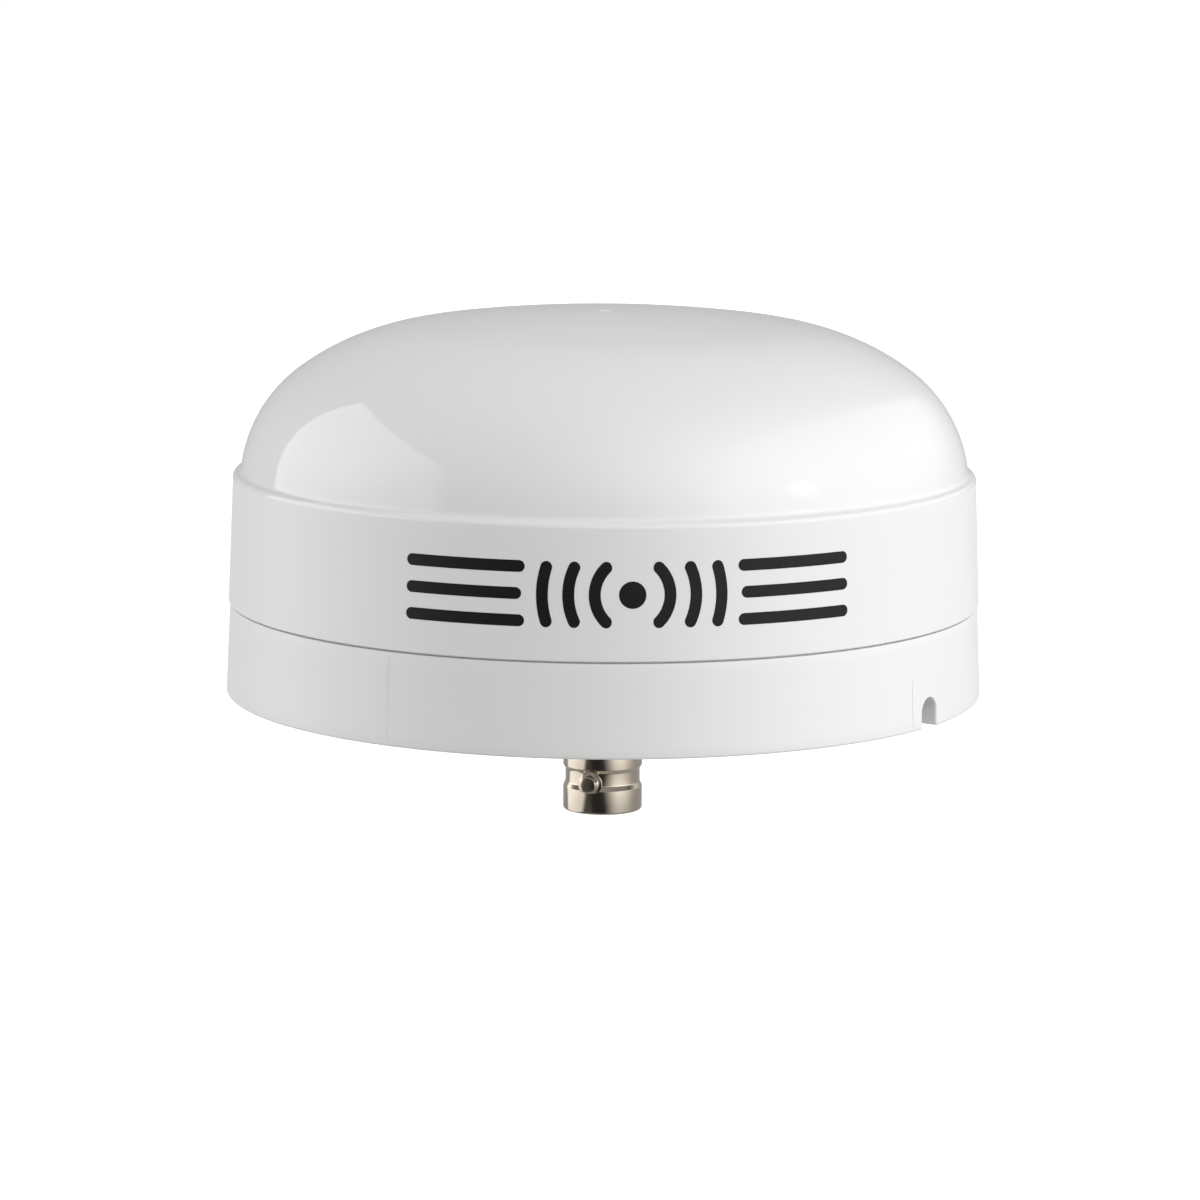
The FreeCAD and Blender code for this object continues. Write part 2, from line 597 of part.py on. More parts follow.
def board_socket():
    x = socket_offset()
    foot = block(SOCKET_FOOT_SIDE, SOCKET_FOOT_SIDE, SOCKET_FOOT, BOARD_LOW, x)
    return foot.fuse(tube(SOCKET_BORE, SOCKET_RADIUS, SOCKET_LOW, SOCKET_FOOT, x))


def vent_membrane():
    return cylinder(VENT_FILM_RADIUS, FLOOR_TOP, FLOOR_TOP + VENT_FILM_THICKNESS, VENT_AT[0], VENT_AT[1])


def build():
    os.makedirs("parts", exist_ok=True)
    save("mount_plate", mount_plate())
    save("deck_gasket", deck_gasket())
    save("lock_screw", lock_screw())
    save("radome_cover", radome_cover())
    save("base_housing", base_housing())
    seal_height = (SEAL_GROOVE_LOW + SEAL_GROOVE_HIGH) / 2
    save("cover_seal_ring", torus(SEAL_GROOVE_RADIUS + SEAL_CORD_RADIUS + 0.02, SEAL_CORD_RADIUS, seal_height))
    save_group("cover_inserts", cover_inserts())
    save_group("housing_screws", housing_screws())
    save("jack_body", jack_body())
    save("jack_dielectric", jack_dielectric())
    save("jack_contact", jack_contact())
    save("jack_seal_ring", torus(PANEL_SEAL_RING, PANEL_SEAL_CORD, CUP_FLOOR_TOP - PANEL_SEAL_CORD))
    save("jack_washer", jack_washer())
    save("jack_nut", jack_nut())
    save("circuit_board", circuit_board())
    save_group("board_standoffs", board_standoffs())
    save_group("board_screws", board_screws())
    save("patch_adhesive_pad", square_with_feed_hole(PATCH_PAD_SIDE, BOARD_HIGH, PATCH_LOW))
    save("patch_ceramic", square_with_feed_hole(PATCH_SIDE, PATCH_LOW, PATCH_HIGH))
    save("patch_electrode", square_with_feed_hole(ELECTRODE_SIDE, PATCH_HIGH, ELECTRODE_HIGH))
    save("feed_pin", feed_pin())
    save("feed_solder", feed_solder())
    save("shield_frame", shield_frame())
    save("shield_lid", shield_lid())
    save("band_filter", chip_row(FILTER_ROW)[0])
    save_group("amplifier_chips", chip_row(AMPLIFIER_ROW))
    save("regulator_chip", chip_row(REGULATOR_ROW)[0])
    save_group("chip_inductors", chip_row(INDUCTOR_ROW))
    save_group("chip_capacitors", chip_row(CAPACITOR_ROW))
    save_group("chip_resistors", chip_row(RESISTOR_ROW))
    save("signal_cable", signal_cable())
    save("cable_plug", cable_plug())
    save("board_socket", board_socket())
    save("vent_membrane", vent_membrane())


build()
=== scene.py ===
import math

import bmesh
import bpy
from mathutils import Matrix, Vector


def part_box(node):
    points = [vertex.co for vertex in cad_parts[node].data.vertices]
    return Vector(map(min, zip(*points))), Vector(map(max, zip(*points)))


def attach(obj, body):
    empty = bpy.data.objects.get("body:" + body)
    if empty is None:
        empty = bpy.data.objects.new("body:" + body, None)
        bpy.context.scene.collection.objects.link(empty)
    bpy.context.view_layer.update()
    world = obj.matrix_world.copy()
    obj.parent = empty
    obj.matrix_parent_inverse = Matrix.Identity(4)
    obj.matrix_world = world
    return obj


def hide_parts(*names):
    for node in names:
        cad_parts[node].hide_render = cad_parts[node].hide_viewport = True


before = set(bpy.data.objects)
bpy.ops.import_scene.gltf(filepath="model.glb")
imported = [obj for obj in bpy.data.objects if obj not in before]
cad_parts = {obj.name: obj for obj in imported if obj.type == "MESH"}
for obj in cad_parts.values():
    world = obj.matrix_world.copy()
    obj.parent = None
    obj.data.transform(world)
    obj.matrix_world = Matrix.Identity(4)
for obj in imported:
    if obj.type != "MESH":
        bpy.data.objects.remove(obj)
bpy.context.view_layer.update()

# Round marine antenna unit on its twist-lock plate. Metres, +Z up, the front faces -Y.
# Headings are in degrees from +X towards +Y, as in the frame.

MM = 0.001
ROUND = 2 * math.pi
LATHE_STEPS = 288

# ---- places read from the frame ----
COVER_LOW, COVER_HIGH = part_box("radome_cover")
HOUSING_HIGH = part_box("base_housing")[1]
JACK_LOW, JACK_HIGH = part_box("jack_body")
PLATE_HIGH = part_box("mount_plate")[1]
GASKET_LOW, GASKET_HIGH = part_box("deck_gasket")
NUT_LOW, NUT_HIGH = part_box("jack_nut")
WASHER_LOW, WASHER_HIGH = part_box("jack_washer")
APEX = COVER_HIGH.z
SEAM = COVER_LOW.z
SKIRT_FOOT = HOUSING_HIGH.x
JACK_MOUTH = JACK_LOW.z

# ---- the cover ----
COVER_FOOT = 45.42 * MM
# radius and turn in degrees of each tangent arc, from the apex outwards
DOME_ARCS = ((169.5 * MM, 7.8), (31.2 * MM, 27.8), (17.0 * MM, 46.6))
LEDGE_FOOT = 44.83 * MM
LEDGE_HEIGHT = 26.1 * MM
LEDGE_HOLLOW = 0.8 * MM
COVER_WALL = 2.4 * MM
COVER_BORE = 43.0 * MM
COVER_EASE = 0.12 * MM
BAND_STEPS = 8
GATE_PIT = 0.95 * MM
GATE_DEPTH = 0.16 * MM
POST_RING = 34.0 * MM
POST_RADIUS = 3.2 * MM
INSERT_BORE = 2.1 * MM
POST_FIRST = 45

# ---- the base housing ----
SKIRT_TOP = 45.29 * MM
SKIRT_BORE = 42.6 * MM
SEAM_GAP = 0.2 * MM
CEILING = 8.0 * MM
FLOOR_TOP = 10.5 * MM
TONGUE_OUTER = 42.7 * MM
TONGUE_INNER = 39.9 * MM
SEAL_GROOVE = 41.4 * MM
SEAL_LOW = 11.7 * MM
SEAL_HIGH = 13.7 * MM
CUP_OUTER = 11.5 * MM
CUP_INNER = 9.0 * MM
CUP_BOTTOM = 1.2 * MM
CUP_FLOOR = 3.7 * MM
JACK_SEAL_BORE = 6.55 * MM
JACK_SEAL_TOP = 2.6 * MM
JACK_HOLE = 4.9 * MM
STUD_RING = 26.0 * MM
STUD_HOLE = 1.45 * MM
VENT_HOLE = 1.5 * MM
STUD_FIRST = 30
SLOT_HEADING = -33.4
SLOT_HALF_WIDTH = 1.6 * MM
SLOT_ARCH_HEIGHT = 1.96 * MM
SLOT_EASE = 0.34 * MM
CATCH_REACH = 39.6 * MM
CATCH_LOW = 2.4 * MM
CATCH_HIGH = 4.2 * MM
LOCK_FIRST = -110.0
LOCK_SPAN = 22.0
LINE_HALF_WIDTH = 0.07 * MM
LINE_PROUD = 0.045 * MM
SPLIT_HEADING = -122.7

# ---- the jack ----
COLLAR = 4.825 * MM
BARREL_BORE = 4.05 * MM
THREAD_CORE = 4.45 * MM
THREAD_CREST = 4.53 * MM
HEXAGON_FLATS = 12.7 * MM
FLANGE_LOW = 3.7 * MM
FLANGE_HIGH = 6.2 * MM
LUG_HEIGHT = -11.2 * MM
LUG_HEADING = -109.4

# ---- the mounting plate ----
PLATE_BORE = 13.5 * MM
PLATE_RIM = 39.2 * MM
PLATE_TOP = 5.6 * MM
PLATE_REACH = 42.2 * MM
GROOVE_INNER = 30.5 * MM
GROOVE_OUTER = 35.5 * MM
GROOVE_DEPTH = 1.2 * MM
TAB_ROOT = 37.2 * MM
DECK_SCREW_RING = 23.0 * MM
LOCK_SCREW_HOLE = 1.52 * MM

# ---- the printed band graphic ----
PRINT_HEADING = -85.9
PRINT_MIDDLE = 18.75 * MM
PRINT_HALF_HEIGHT = 3.75 * MM
PRINT_HALF_WIDTH = 26.8 * MM
PRINT_STROKE = 1.35 * MM
PRINT_FILM = 0.02 * MM
DOT_RADIUS = 1.55 * MM
WAVE_RADII = (4.3 * MM, 7.3 * MM, 10.3 * MM)
STRIPE_START = 12.7 * MM


# ---------------------------------------------------------------- shapes

class Outline:
    """Tangent arcs and lines in the (radius, height) plane. The heading is in radians below level."""

    def __init__(self, radius, height, heading=0.0):
        self.at = Vector((radius, height))
        self.heading = math.radians(heading)
        self.points = [self.at.copy()]

    def ahead(self, along, down):
        c, s = math.cos(self.heading), math.sin(self.heading)
        return self.at + Vector((along * c - down * s, -along * s - down * c))

    def arc(self, radius, turn, steps):
        """Turns down for a positive turn, up for a negative one."""
        side = math.copysign(1.0, turn)
        swing = math.radians(abs(turn))
        places = []
        for i in range(1, steps + 1):
            t = swing * i / steps
            places.append(self.ahead(radius * math.sin(t), side * radius * (1 - math.cos(t))))
        self.points += places
        self.at = places[-1].copy()
        self.heading += math.radians(turn)

    def line_to_height(self, height, steps):
        length = (self.at.y - height) / math.sin(self.heading)
        places = [self.ahead(length * i / steps, 0) for i in range(1, steps + 1)]
        self.points += places
        self.at = places[-1].copy()


def eased(corners, steps=4):
    """A closed outline from (radius, height, rounding) corners, each rounding a true arc."""
    outline = []
    for i, (radius, height, rounding) in enumerate(corners):
        corner = Vector((radius, height))
        if rounding == 0:
            outline.append(corner)
            continue
        back = (Vector(corners[i - 1][:2]) - corner).normalized()
        on = (Vector(corners[(i + 1) % len(corners)][:2]) - corner).normalized()
        half = back.angle(on) / 2
        centre = corner + (back + on).normalized() * rounding / math.sin(half)
        start = corner + back * rounding / math.tan(half) - centre
        end = corner + on * rounding / math.tan(half) - centre
        sweep = start.angle_signed(end)
        for k in range(steps + 1):
            spoke = start.copy()
            spoke.rotate(Matrix.Rotation(-sweep * k / steps, 2))
            outline.append(centre + spoke)
    return outline


def divided(outline, longest):
    """The same closed outline with no side longer than this."""
    points = []
    for i, point in enumerate(outline):
        following = outline[(i + 1) % len(outline)]
        parts = max(1, math.ceil((following - point).length / longest))
        points += [point.lerp(following, k / parts) for k in range(parts)]
    return points


def new_piece(name, mesh):
    piece = bpy.data.objects.new(name, mesh)
    bpy.context.scene.collection.objects.link(piece)
    return piece


def made(name, bm):
    """The piece drawn in bm, its faces outwards, shaded smooth up to the crease angle."""
    bmesh.ops.remove_doubles(bm, verts=bm.verts, dist=0.0005 * MM)
    bmesh.ops.recalc_face_normals(bm, faces=bm.faces)
    mesh = bpy.data.meshes.new(name)
    bm.to_mesh(mesh)
    bm.free()
    smooth(mesh)
    return new_piece(name, mesh)


def smooth(mesh, crease=35.0):
    mesh.polygons.foreach_set("use_smooth", [True] * len(mesh.polygons))
    mesh.set_sharp_from_angle(angle=math.radians(crease))


def lathed(bm, outline, steps=LATHE_STEPS, x=0.0, y=0.0, heading=0.0, span=360.0):
    """Adds a closed (radius, height) outline turned about a vertical axis to bm."""
    whole = span >= 360.0
    count = steps if whole else steps + 1
    columns = []
    for i in range(count):
        angle = math.radians(heading + span * i / steps)
        c, s = math.cos(angle), math.sin(angle)
        column = []
        for k, point in enumerate(outline):
            on_axis = whole and point.x < 1e-7
            if on_axis and columns:
                column.append(columns[0][k])
            else:
                column.append(bm.verts.new((x + point.x * c, y + point.x * s, point.y)))
        columns.append(column)
    size = len(outline)
    for i in range(steps):
        here, there = columns[i], columns[(i + 1) % count]
        for k in range(size):
            corners = [here[k], here[(k + 1) % size], there[(k + 1) % size], there[k]]
            ring = list(dict.fromkeys(corners))
            if len(ring) > 2:
                bm.faces.new(ring)
    if not whole:
        bm.faces.new(columns[0])
        bm.faces.new(list(reversed(columns[-1])))


def turned_piece(name, outline, **place):
    bm = bmesh.new()
    lathed(bm, outline, **place)
    return made(name, bm)


def skinned(bm, rings):
    """Quads between each closed ring of vertices and the next."""
    for here, there in zip(rings, rings[1:]):
        for k in range(len(here)):
            n = (k + 1) % len(here)
            bm.faces.new([here[k], here[n], there[n], there[k]])


def rotated(bm, axis, degrees):
    bmesh.ops.rotate(bm, matrix=Matrix.Rotation(math.radians(degrees), 3, axis), verts=bm.verts)


def baked(piece, name, crease=35.0):
    """The piece with its modifiers worked in, as a plain new object; the old one goes."""
    depsgraph = bpy.context.evaluated_depsgraph_get()
    mesh = bpy.data.meshes.new_from_object(piece.evaluated_get(depsgraph), depsgraph=depsgraph)
    mesh.name = name
    bpy.data.objects.remove(piece)
    smooth(mesh, crease)
    return new_piece(name, mesh)


def painted(piece, material):
    """The piece in one finish all over."""
    piece.data.materials.clear()
    piece.data.materials.append(material)
    piece.data.polygons.foreach_set("material_index", [0] * len(piece.data.polygons))
    return piece


def carved(piece, cutter, name, crease=35.0):
    cut = piece.modifiers.new("cut", "BOOLEAN")
    cut.operation = "DIFFERENCE"
    cut.solver = "EXACT"
    cut.object = cutter
    result = baked(piece, name, crease)
    bpy.data.objects.remove(cutter)
    return result


def joined(name, pieces):
    """One object out of several that don't share a face."""
    bm = bmesh.new()
    materials = []
    for piece in pieces:
        own = list(piece.data.materials)
        for material in own:
            if material not in materials:
                materials.append(material)
        before = len(bm.faces)
        bm.from_mesh(piece.data)
        bm.faces.ensure_lookup_table()
        for face in bm.faces[before:]:
            face.material_index = materials.index(own[face.material_index])
        bpy.data.objects.remove(piece)
    mesh = bpy.data.meshes.new(name)
    bm.to_mesh(mesh)
    bm.free()
    for material in materials:
        mesh.materials.append(material)
    return new_piece(name, mesh)


# ---------------------------------------------------------------- geometry trees

def new_tree(name, **sockets):
    """An empty geometry tree with these named inputs, and its input and output nodes."""
    tree = bpy.data.node_groups.new(name, "GeometryNodeTree")
    for label, kind in sockets.items():
        tree.interface.new_socket(label, in_out="INPUT", socket_type="NodeSocket" + kind)
    tree.interface.new_socket("Geometry", in_out="OUTPUT", socket_type="NodeSocketGeometry")
    return tree, tree.nodes.new("NodeGroupInput"), tree.nodes.new("NodeGroupOutput")


def close_tree(tree, geometry, given, out):
    """Every tree ends in real geometry with its own material."""
    realize = tree.nodes.new("GeometryNodeRealizeInstances")
    finish = tree.nodes.new("GeometryNodeSetMaterial")
    tree.links.new(geometry, realize.inputs["Geometry"])
    tree.links.new(realize.outputs["Geometry"], finish.inputs["Geometry"])
    tree.links.new(given.outputs["Finish"], finish.inputs["Material"])
    tree.links.new(finish.outputs["Geometry"], out.inputs["Geometry"])


def ring_tree():
    """Copies of one object turned evenly about the vertical axis."""
    tree, given, out = new_tree(
        "ring_of_copies", Source="Object", Count="Int", First="Float", Finish="Material")
    points = tree.nodes.new("GeometryNodePoints")
    source = tree.nodes.new("GeometryNodeObjectInfo")
    index = tree.nodes.new("GeometryNodeInputIndex")
    share = tree.nodes.new("ShaderNodeMath")
    share.operation = "DIVIDE"
    angle = tree.nodes.new("ShaderNodeMath")
    angle.operation = "MULTIPLY_ADD"
    angle.inputs[1].default_value = ROUND
    turn = tree.nodes.new("ShaderNodeCombineXYZ")
    place = tree.nodes.new("GeometryNodeInstanceOnPoints")
    tree.links.new(given.outputs["Count"], points.inputs["Count"])
    tree.links.new(given.outputs["Source"], source.inputs["Object"])
    tree.links.new(index.outputs["Index"], share.inputs[0])
    tree.links.new(given.outputs["Count"], share.inputs[1])
    tree.links.new(share.outputs["Value"], angle.inputs[0])
    tree.links.new(given.outputs["First"], angle.inputs[2])
    tree.links.new(angle.outputs["Value"], turn.inputs["Z"])
    tree.links.new(points.outputs["Points"], place.inputs["Points"])
    tree.links.new(source.outputs["Geometry"], place.inputs["Instance"])
    tree.links.new(turn.outputs["Vector"], place.inputs["Rotation"])
    close_tree(tree, place.outputs["Instances"], given, out)
    return tree


def thread_tree():
    """A screw thread: a three-sided ridge swept along a helix from the given height upwards."""
    tree, given, out = new_tree(
        "screw_thread", Radius="Float", Turns="Float", Rise="Float", Ridge="Float", Start="Float",
        Finish="Material")
    helix = tree.nodes.new("GeometryNodeCurveSpiral")
    helix.inputs["Resolution"].default_value = 96
    ridge = tree.nodes.new("GeometryNodeCurvePrimitiveCircle")
    ridge.inputs["Resolution"].default_value = 3
    sweep = tree.nodes.new("GeometryNodeCurveToMesh")
    sweep.inputs["Fill Caps"].default_value = True
    lift = tree.nodes.new("GeometryNodeTransform")
    height = tree.nodes.new("ShaderNodeCombineXYZ")
    tree.links.new(given.outputs["Turns"], helix.inputs["Rotations"])
    tree.links.new(given.outputs["Radius"], helix.inputs["Start Radius"])
    tree.links.new(given.outputs["Radius"], helix.inputs["End Radius"])
    tree.links.new(given.outputs["Rise"], helix.inputs["Height"])
    tree.links.new(given.outputs["Ridge"], ridge.inputs["Radius"])
    tree.links.new(helix.outputs["Curve"], sweep.inputs["Curve"])
    tree.links.new(ridge.outputs["Curve"], sweep.inputs["Profile Curve"])
    tree.links.new(given.outputs["Start"], height.inputs["Z"])
    tree.links.new(sweep.outputs["Mesh"], lift.inputs["Geometry"])
    tree.links.new(height.outputs["Vector"], lift.inputs["Translation"])
    close_tree(tree, lift.outputs["Geometry"], given, out)
    return tree


def grown(name, tree, **values):
    """Runs a tree with these inputs and keeps the result as a plain mesh."""
    host = new_piece(name + "_host", bpy.data.meshes.new(name + "_host"))
    modifier = host.modifiers.new("tree", "NODES")
    modifier.node_group = tree
    for item in tree.interface.items_tree:
        if item.in_out == "INPUT" and item.name in values:
            modifier[item.identifier] = values[item.name]
    return baked(host, name)


def ring_of(name, source, count, first, finish):
    """The source object, repeated count times about the axis; the source goes."""
    result = grown(name, RING, Source=source, Count=count, First=math.radians(first), Finish=finish)
    bpy.data.objects.remove(source)
    return painted(result, finish)


# ---------------------------------------------------------------- materials

def new_finish(name):
    material = bpy.data.materials.new(name)
    material.use_nodes = True
    nodes = material.node_tree.nodes
    return material, nodes, material.node_tree.links, nodes["Principled BSDF"]


def noise(nodes, links, scale, detail=4.0, stretch=None):
    """Noise on the piece's own coordinates."""
    coords = nodes.new("ShaderNodeTexCoord")
    texture = nodes.new("ShaderNodeTexNoise")
    texture.inputs["Scale"].default_value = scale
    texture.inputs["Detail"].default_value = detail
    source = coords.outputs["Object"]
    if stretch:
        mapping = nodes.new("ShaderNodeMapping")
        mapping.inputs["Scale"].default_value = stretch
        links.new(source, mapping.inputs["Vector"])
        source = mapping.outputs["Vector"]
    links.new(source, texture.inputs["Vector"])
    return texture.outputs["Fac"]


def spread_between(nodes, links, factor, low, high, socket):
    """Drives a socket between two values by a 0 to 1 factor."""
    ramp = nodes.new("ShaderNodeMapRange")
    ramp.inputs["From Min"].default_value = 0.3
    ramp.inputs["From Max"].default_value = 0.7
    ramp.inputs["To Min"].default_value = low
    ramp.inputs["To Max"].default_value = high
    links.new(factor, ramp.inputs["Value"])
    links.new(ramp.outputs["Result"], socket)


def tint_between(nodes, links, factor, first, second, socket):
    blend = nodes.new("ShaderNodeMix")
    blend.data_type = "RGBA"
    blend.inputs[6].default_value = (*first, 1)
    blend.inputs[7].default_value = (*second, 1)
    links.new(factor, blend.inputs[0])
    links.new(blend.outputs[2], socket)


def bumped(nodes, links, shader, factor, depth):
    bump = nodes.new("ShaderNodeBump")
    bump.inputs["Strength"].default_value = 1.0
    bump.inputs["Distance"].default_value = depth
    links.new(factor, bump.inputs["Height"])
    links.new(bump.outputs["Normal"], shader.inputs["Normal"])


def plastic(name, first, second, smoothness, mottle, grain, depth, shine=0.5):
    """Moulded plastic: faint colour mottling, uneven gloss and a fine skin texture."""
    material, nodes, links, shader = new_finish(name)
    cloud = noise(nodes, links, mottle, 3.0)
    tint_between(nodes, links, cloud, first, second, shader.inputs["Base Color"])
    spread_between(nodes, links, noise(nodes, links, mottle * 3.1, 5.0),
                   smoothness[0], smoothness[1], shader.inputs["Roughness"])
    bumped(nodes, links, shader, noise(nodes, links, grain, 6.0), depth)
    shader.inputs["IOR"].default_value = 1.5
    shader.inputs["Specular IOR Level"].default_value = shine
    return material


def metal(name, first, second, smoothness, lines, depth):
    """Turned or rolled metal: fine lines along the piece's length and uneven polish."""
    material, nodes, links, shader = new_finish(name)
    shader.inputs["Metallic"].default_value = 1.0
    cloud = noise(nodes, links, 900.0, 4.0)
    tint_between(nodes, links, cloud, first, second, shader.inputs["Base Color"])
    streaks = noise(nodes, links, 1.0, 2.0, stretch=lines)
    spread_between(nodes, links, streaks, smoothness[0], smoothness[1], shader.inputs["Roughness"])
    bumped(nodes, links, shader, streaks, depth)
    return material


def foam(name):
    """Closed-cell foam: small pits between raised cell walls, with painted shade darkening the pits."""
    material, nodes, links, shader = new_finish(name)
    coords = nodes.new("ShaderNodeTexCoord")
    cells = nodes.new("ShaderNodeTexVoronoi")
    cells.inputs["Scale"].default_value = 2600.0
    links.new(coords.outputs["Object"], cells.inputs["Vector"])
    # painted shade: the colour darkens towards each cell's low pit and lightens on the raised walls
    tint_between(nodes, links, cells.outputs["Distance"], (0.012, 0.012, 0.013), (0.05, 0.05, 0.052),
                 shader.inputs["Base Color"])
    spread_between(nodes, links, cells.outputs["Distance"], 0.95, 0.75, shader.inputs["Roughness"])
    bumped(nodes, links, shader, cells.outputs["Distance"], 0.12 * MM)
    return material


def make_finishes():
    white = (0.80, 0.80, 0.795)
    soft_white = (0.785, 0.785, 0.78)
    turned = (400.0, 400.0, 30000.0)
    rolled = (20000.0, 300.0, 300.0)
    return {
        "gloss": plastic("white_gloss_plastic", white, soft_white, (0.03, 0.06), 60.0, 900.0, 0.0012 * MM),
        "satin": plastic("white_satin_plastic", white, soft_white, (0.34, 0.42), 60.0, 9000.0, 0.004 * MM),
        "plate": plastic("pale_plate_plastic", (0.84, 0.84, 0.83), (0.81, 0.81, 0.80),
                         (0.45, 0.6), 80.0, 7000.0, 0.01 * MM),
        "ink": plastic("black_print", (0.006, 0.006, 0.007), (0.010, 0.010, 0.010),
                       (0.42, 0.55), 300.0, 12000.0, 0.002 * MM, shine=0.2),
        "foam": foam("black_foam"),
        "seal": plastic("black_rubber", (0.012, 0.012, 0.012), (0.02, 0.02, 0.02),
                        (0.5, 0.65), 200.0, 6000.0, 0.006 * MM),
        "nickel": metal("nickel_plate", (0.55, 0.49, 0.41), (0.47, 0.415, 0.34),
                        (0.12, 0.20), turned, 0.0008 * MM),
        "steel": metal("stainless_steel", (0.56, 0.55, 0.53), (0.50, 0.49, 0.48),
                       (0.25, 0.36), turned, 0.0008 * MM),
        "tin": metal("tinned_sheet", (0.62, 0.62, 0.60), (0.56, 0.56, 0.55),
                     (0.3, 0.42), rolled, 0.0008 * MM),
        "gold": metal("gold_plate", (0.86, 0.62, 0.25), (0.80, 0.56, 0.21),
                      (0.16, 0.24), turned, 0.0006 * MM),
        "brass": metal("machined_brass", (0.68, 0.50, 0.23), (0.60, 0.43, 0.19),
                       (0.24, 0.36), turned, 0.0008 * MM),
        "silver": metal("fired_silver", (0.78, 0.77, 0.75), (0.70, 0.69, 0.66),
                        (0.35, 0.5), rolled, 0.002 * MM),
        "ptfe": plastic("white_ptfe", (0.78, 0.78, 0.76), (0.72, 0.72, 0.70),
                        (0.4, 0.55), 300.0, 5000.0, 0.004 * MM),
        "laminate": plastic("green_laminate", (0.012, 0.10, 0.045), (0.018, 0.13, 0.06),
                            (0.25, 0.4), 150.0, 2500.0, 0.006 * MM),
        "ceramic": plastic("fired_ceramic", (0.62, 0.57, 0.48), (0.56, 0.51, 0.43),
                           (0.5, 0.7), 300.0, 5000.0, 0.01 * MM),
        "adhesive": plastic("grey_adhesive", (0.10, 0.10, 0.10), (0.14, 0.14, 0.14),
                            (0.5, 0.7), 400.0, 5000.0, 0.01 * MM),
        "epoxy": plastic("chip_epoxy", (0.012, 0.012, 0.013), (0.02, 0.02, 0.021),
                         (0.4, 0.6), 600.0, 9000.0, 0.004 * MM),
        "chip": plastic("chip_ceramic", (0.36, 0.26, 0.17), (0.28, 0.20, 0.13),
                        (0.4, 0.6), 800.0, 9000.0, 0.004 * MM),
        "jacket": plastic("cable_jacket", (0.02, 0.02, 0.02), (0.03, 0.03, 0.03),
                          (0.35, 0.5), 500.0, 7000.0, 0.004 * MM),
        "film": plastic("vent_film", (0.74, 0.74, 0.72), (0.66, 0.66, 0.64),
                        (0.8, 0.95), 500.0, 9000.0, 0.01 * MM),
    }


# ---------------------------------------------------------------- the object's pieces

def dome_outline():
    """Outside of the cover from the apex to its foot: three tangent arcs, the ledge's S and the band."""
    band_run = LEDGE_HEIGHT - SEAM
    band_heading = 90 - math.degrees(math.atan2(COVER_FOOT - LEDGE_FOOT, band_run))
    pen = Outline(0.0, APEX)
    for (radius, turn), steps in zip(DOME_ARCS, (14, 22, 34)):
        pen.arc(radius, turn, steps)
    step = LEDGE_FOOT - pen.at.x
    drop = pen.at.y - LEDGE_HEIGHT
    wall = math.degrees(pen.heading)
    swing = 2 * math.degrees(math.atan2(step, drop)) - (90 - wall)
    reach = drop / math.sin(math.radians(swing))
    pen.arc(LEDGE_HOLLOW, -swing, 8)
    pen.arc(reach - LEDGE_HOLLOW, band_heading - math.degrees(pen.heading), 10)
    pen.line_to_height(SEAM + COVER_EASE, BAND_STEPS)
    return pen.points


def gate_dimple(points):
    """Sinks the moulding gate's shallow pit, with its low stub, into the crown."""
    pit = []
    crown = DOME_ARCS[0][0]
    stub = 0.34
    for share in (0.0, 0.12, 0.24, stub, 0.46, 0.62, 0.78, 0.9, 1.0, 1.15):
        r = share * GATE_PIT
        if share <= stub:
            sink = GATE_DEPTH * (0.35 + 0.65 * (share / stub) ** 2)
        else:
            sink = GATE_DEPTH * max(0.0, math.cos((share - stub) / (1 - stub) * math.pi / 2))
        pit.append(Vector((r, APEX - crown * (1 - math.cos(r / crown)) - sink)))
    return pit + [p for p in points if p.x > 1.3 * GATE_PIT]


def cover_posts(finish):
    """Four screw posts inside the cover, each tied to the wall by a rib."""
    insert_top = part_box("cover_inserts")[1].z
    bore_top = insert_top + 1.9 * MM
    post_top = insert_top + 4.4 * MM
    bm = bmesh.new()
    outline = eased([
        (INSERT_BORE, SEAM, 0), (POST_RADIUS, SEAM, 0.2 * MM), (POST_RADIUS, post_top, 0.3 * MM),
        (0, post_top, 0), (0, bore_top, 0), (INSERT_BORE, bore_top, 0)])
    lathed(bm, outline, steps=32, x=POST_RING)
    rib = bmesh.ops.create_cube(bm, size=1.0)["verts"]
    bmesh.ops.scale(bm, vec=(6.6 * MM, 2.0 * MM, 6.6 * MM), verts=rib)
    bmesh.ops.translate(bm, vec=(POST_RING + 6.1 * MM, 0, SEAM + 7.0 * MM), verts=rib)
    source = made("cover_post_source", bm)
    return ring_of("cover_posts", source, 4, POST_FIRST, finish)


def domed_cover(finish):
    outside = gate_dimple(dome_outline())
    foot = [Vector((COVER_FOOT - COVER_EASE, SEAM)), Vector((COVER_BORE, SEAM))]
    inside = Outline(0.0, APEX - COVER_WALL)
    for (radius, turn), steps in zip(DOME_ARCS, (5, 8, 12)):
        inside.arc(radius - COVER_WALL, turn, steps)
    inside.line_to_height(24.8 * MM, 1)
    wall = [Vector((COVER_BORE, 23.2 * MM))] + list(reversed(inside.points))
    shell = turned_piece("cover_shell", outside + foot + wall)
    shell.data.materials.append(finish["gloss"])
    shell.data.materials.append(finish["satin"])
    satin_from = LEDGE_HEIGHT - 0.1 * MM
    for face in shell.data.polygons:
        face.material_index = 1 if face.center.z < satin_from else 0
    cover = joined("domed_cover", [shell, cover_posts(finish["satin"])])
    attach(cover, "antenna")
    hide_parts("radome_cover")
    return cover


def skirt_radius(height):
    """Outside of the skirt, which narrows a little towards the seam."""
    return SKIRT_FOOT - (SKIRT_FOOT - SKIRT_TOP) * height / SEAM


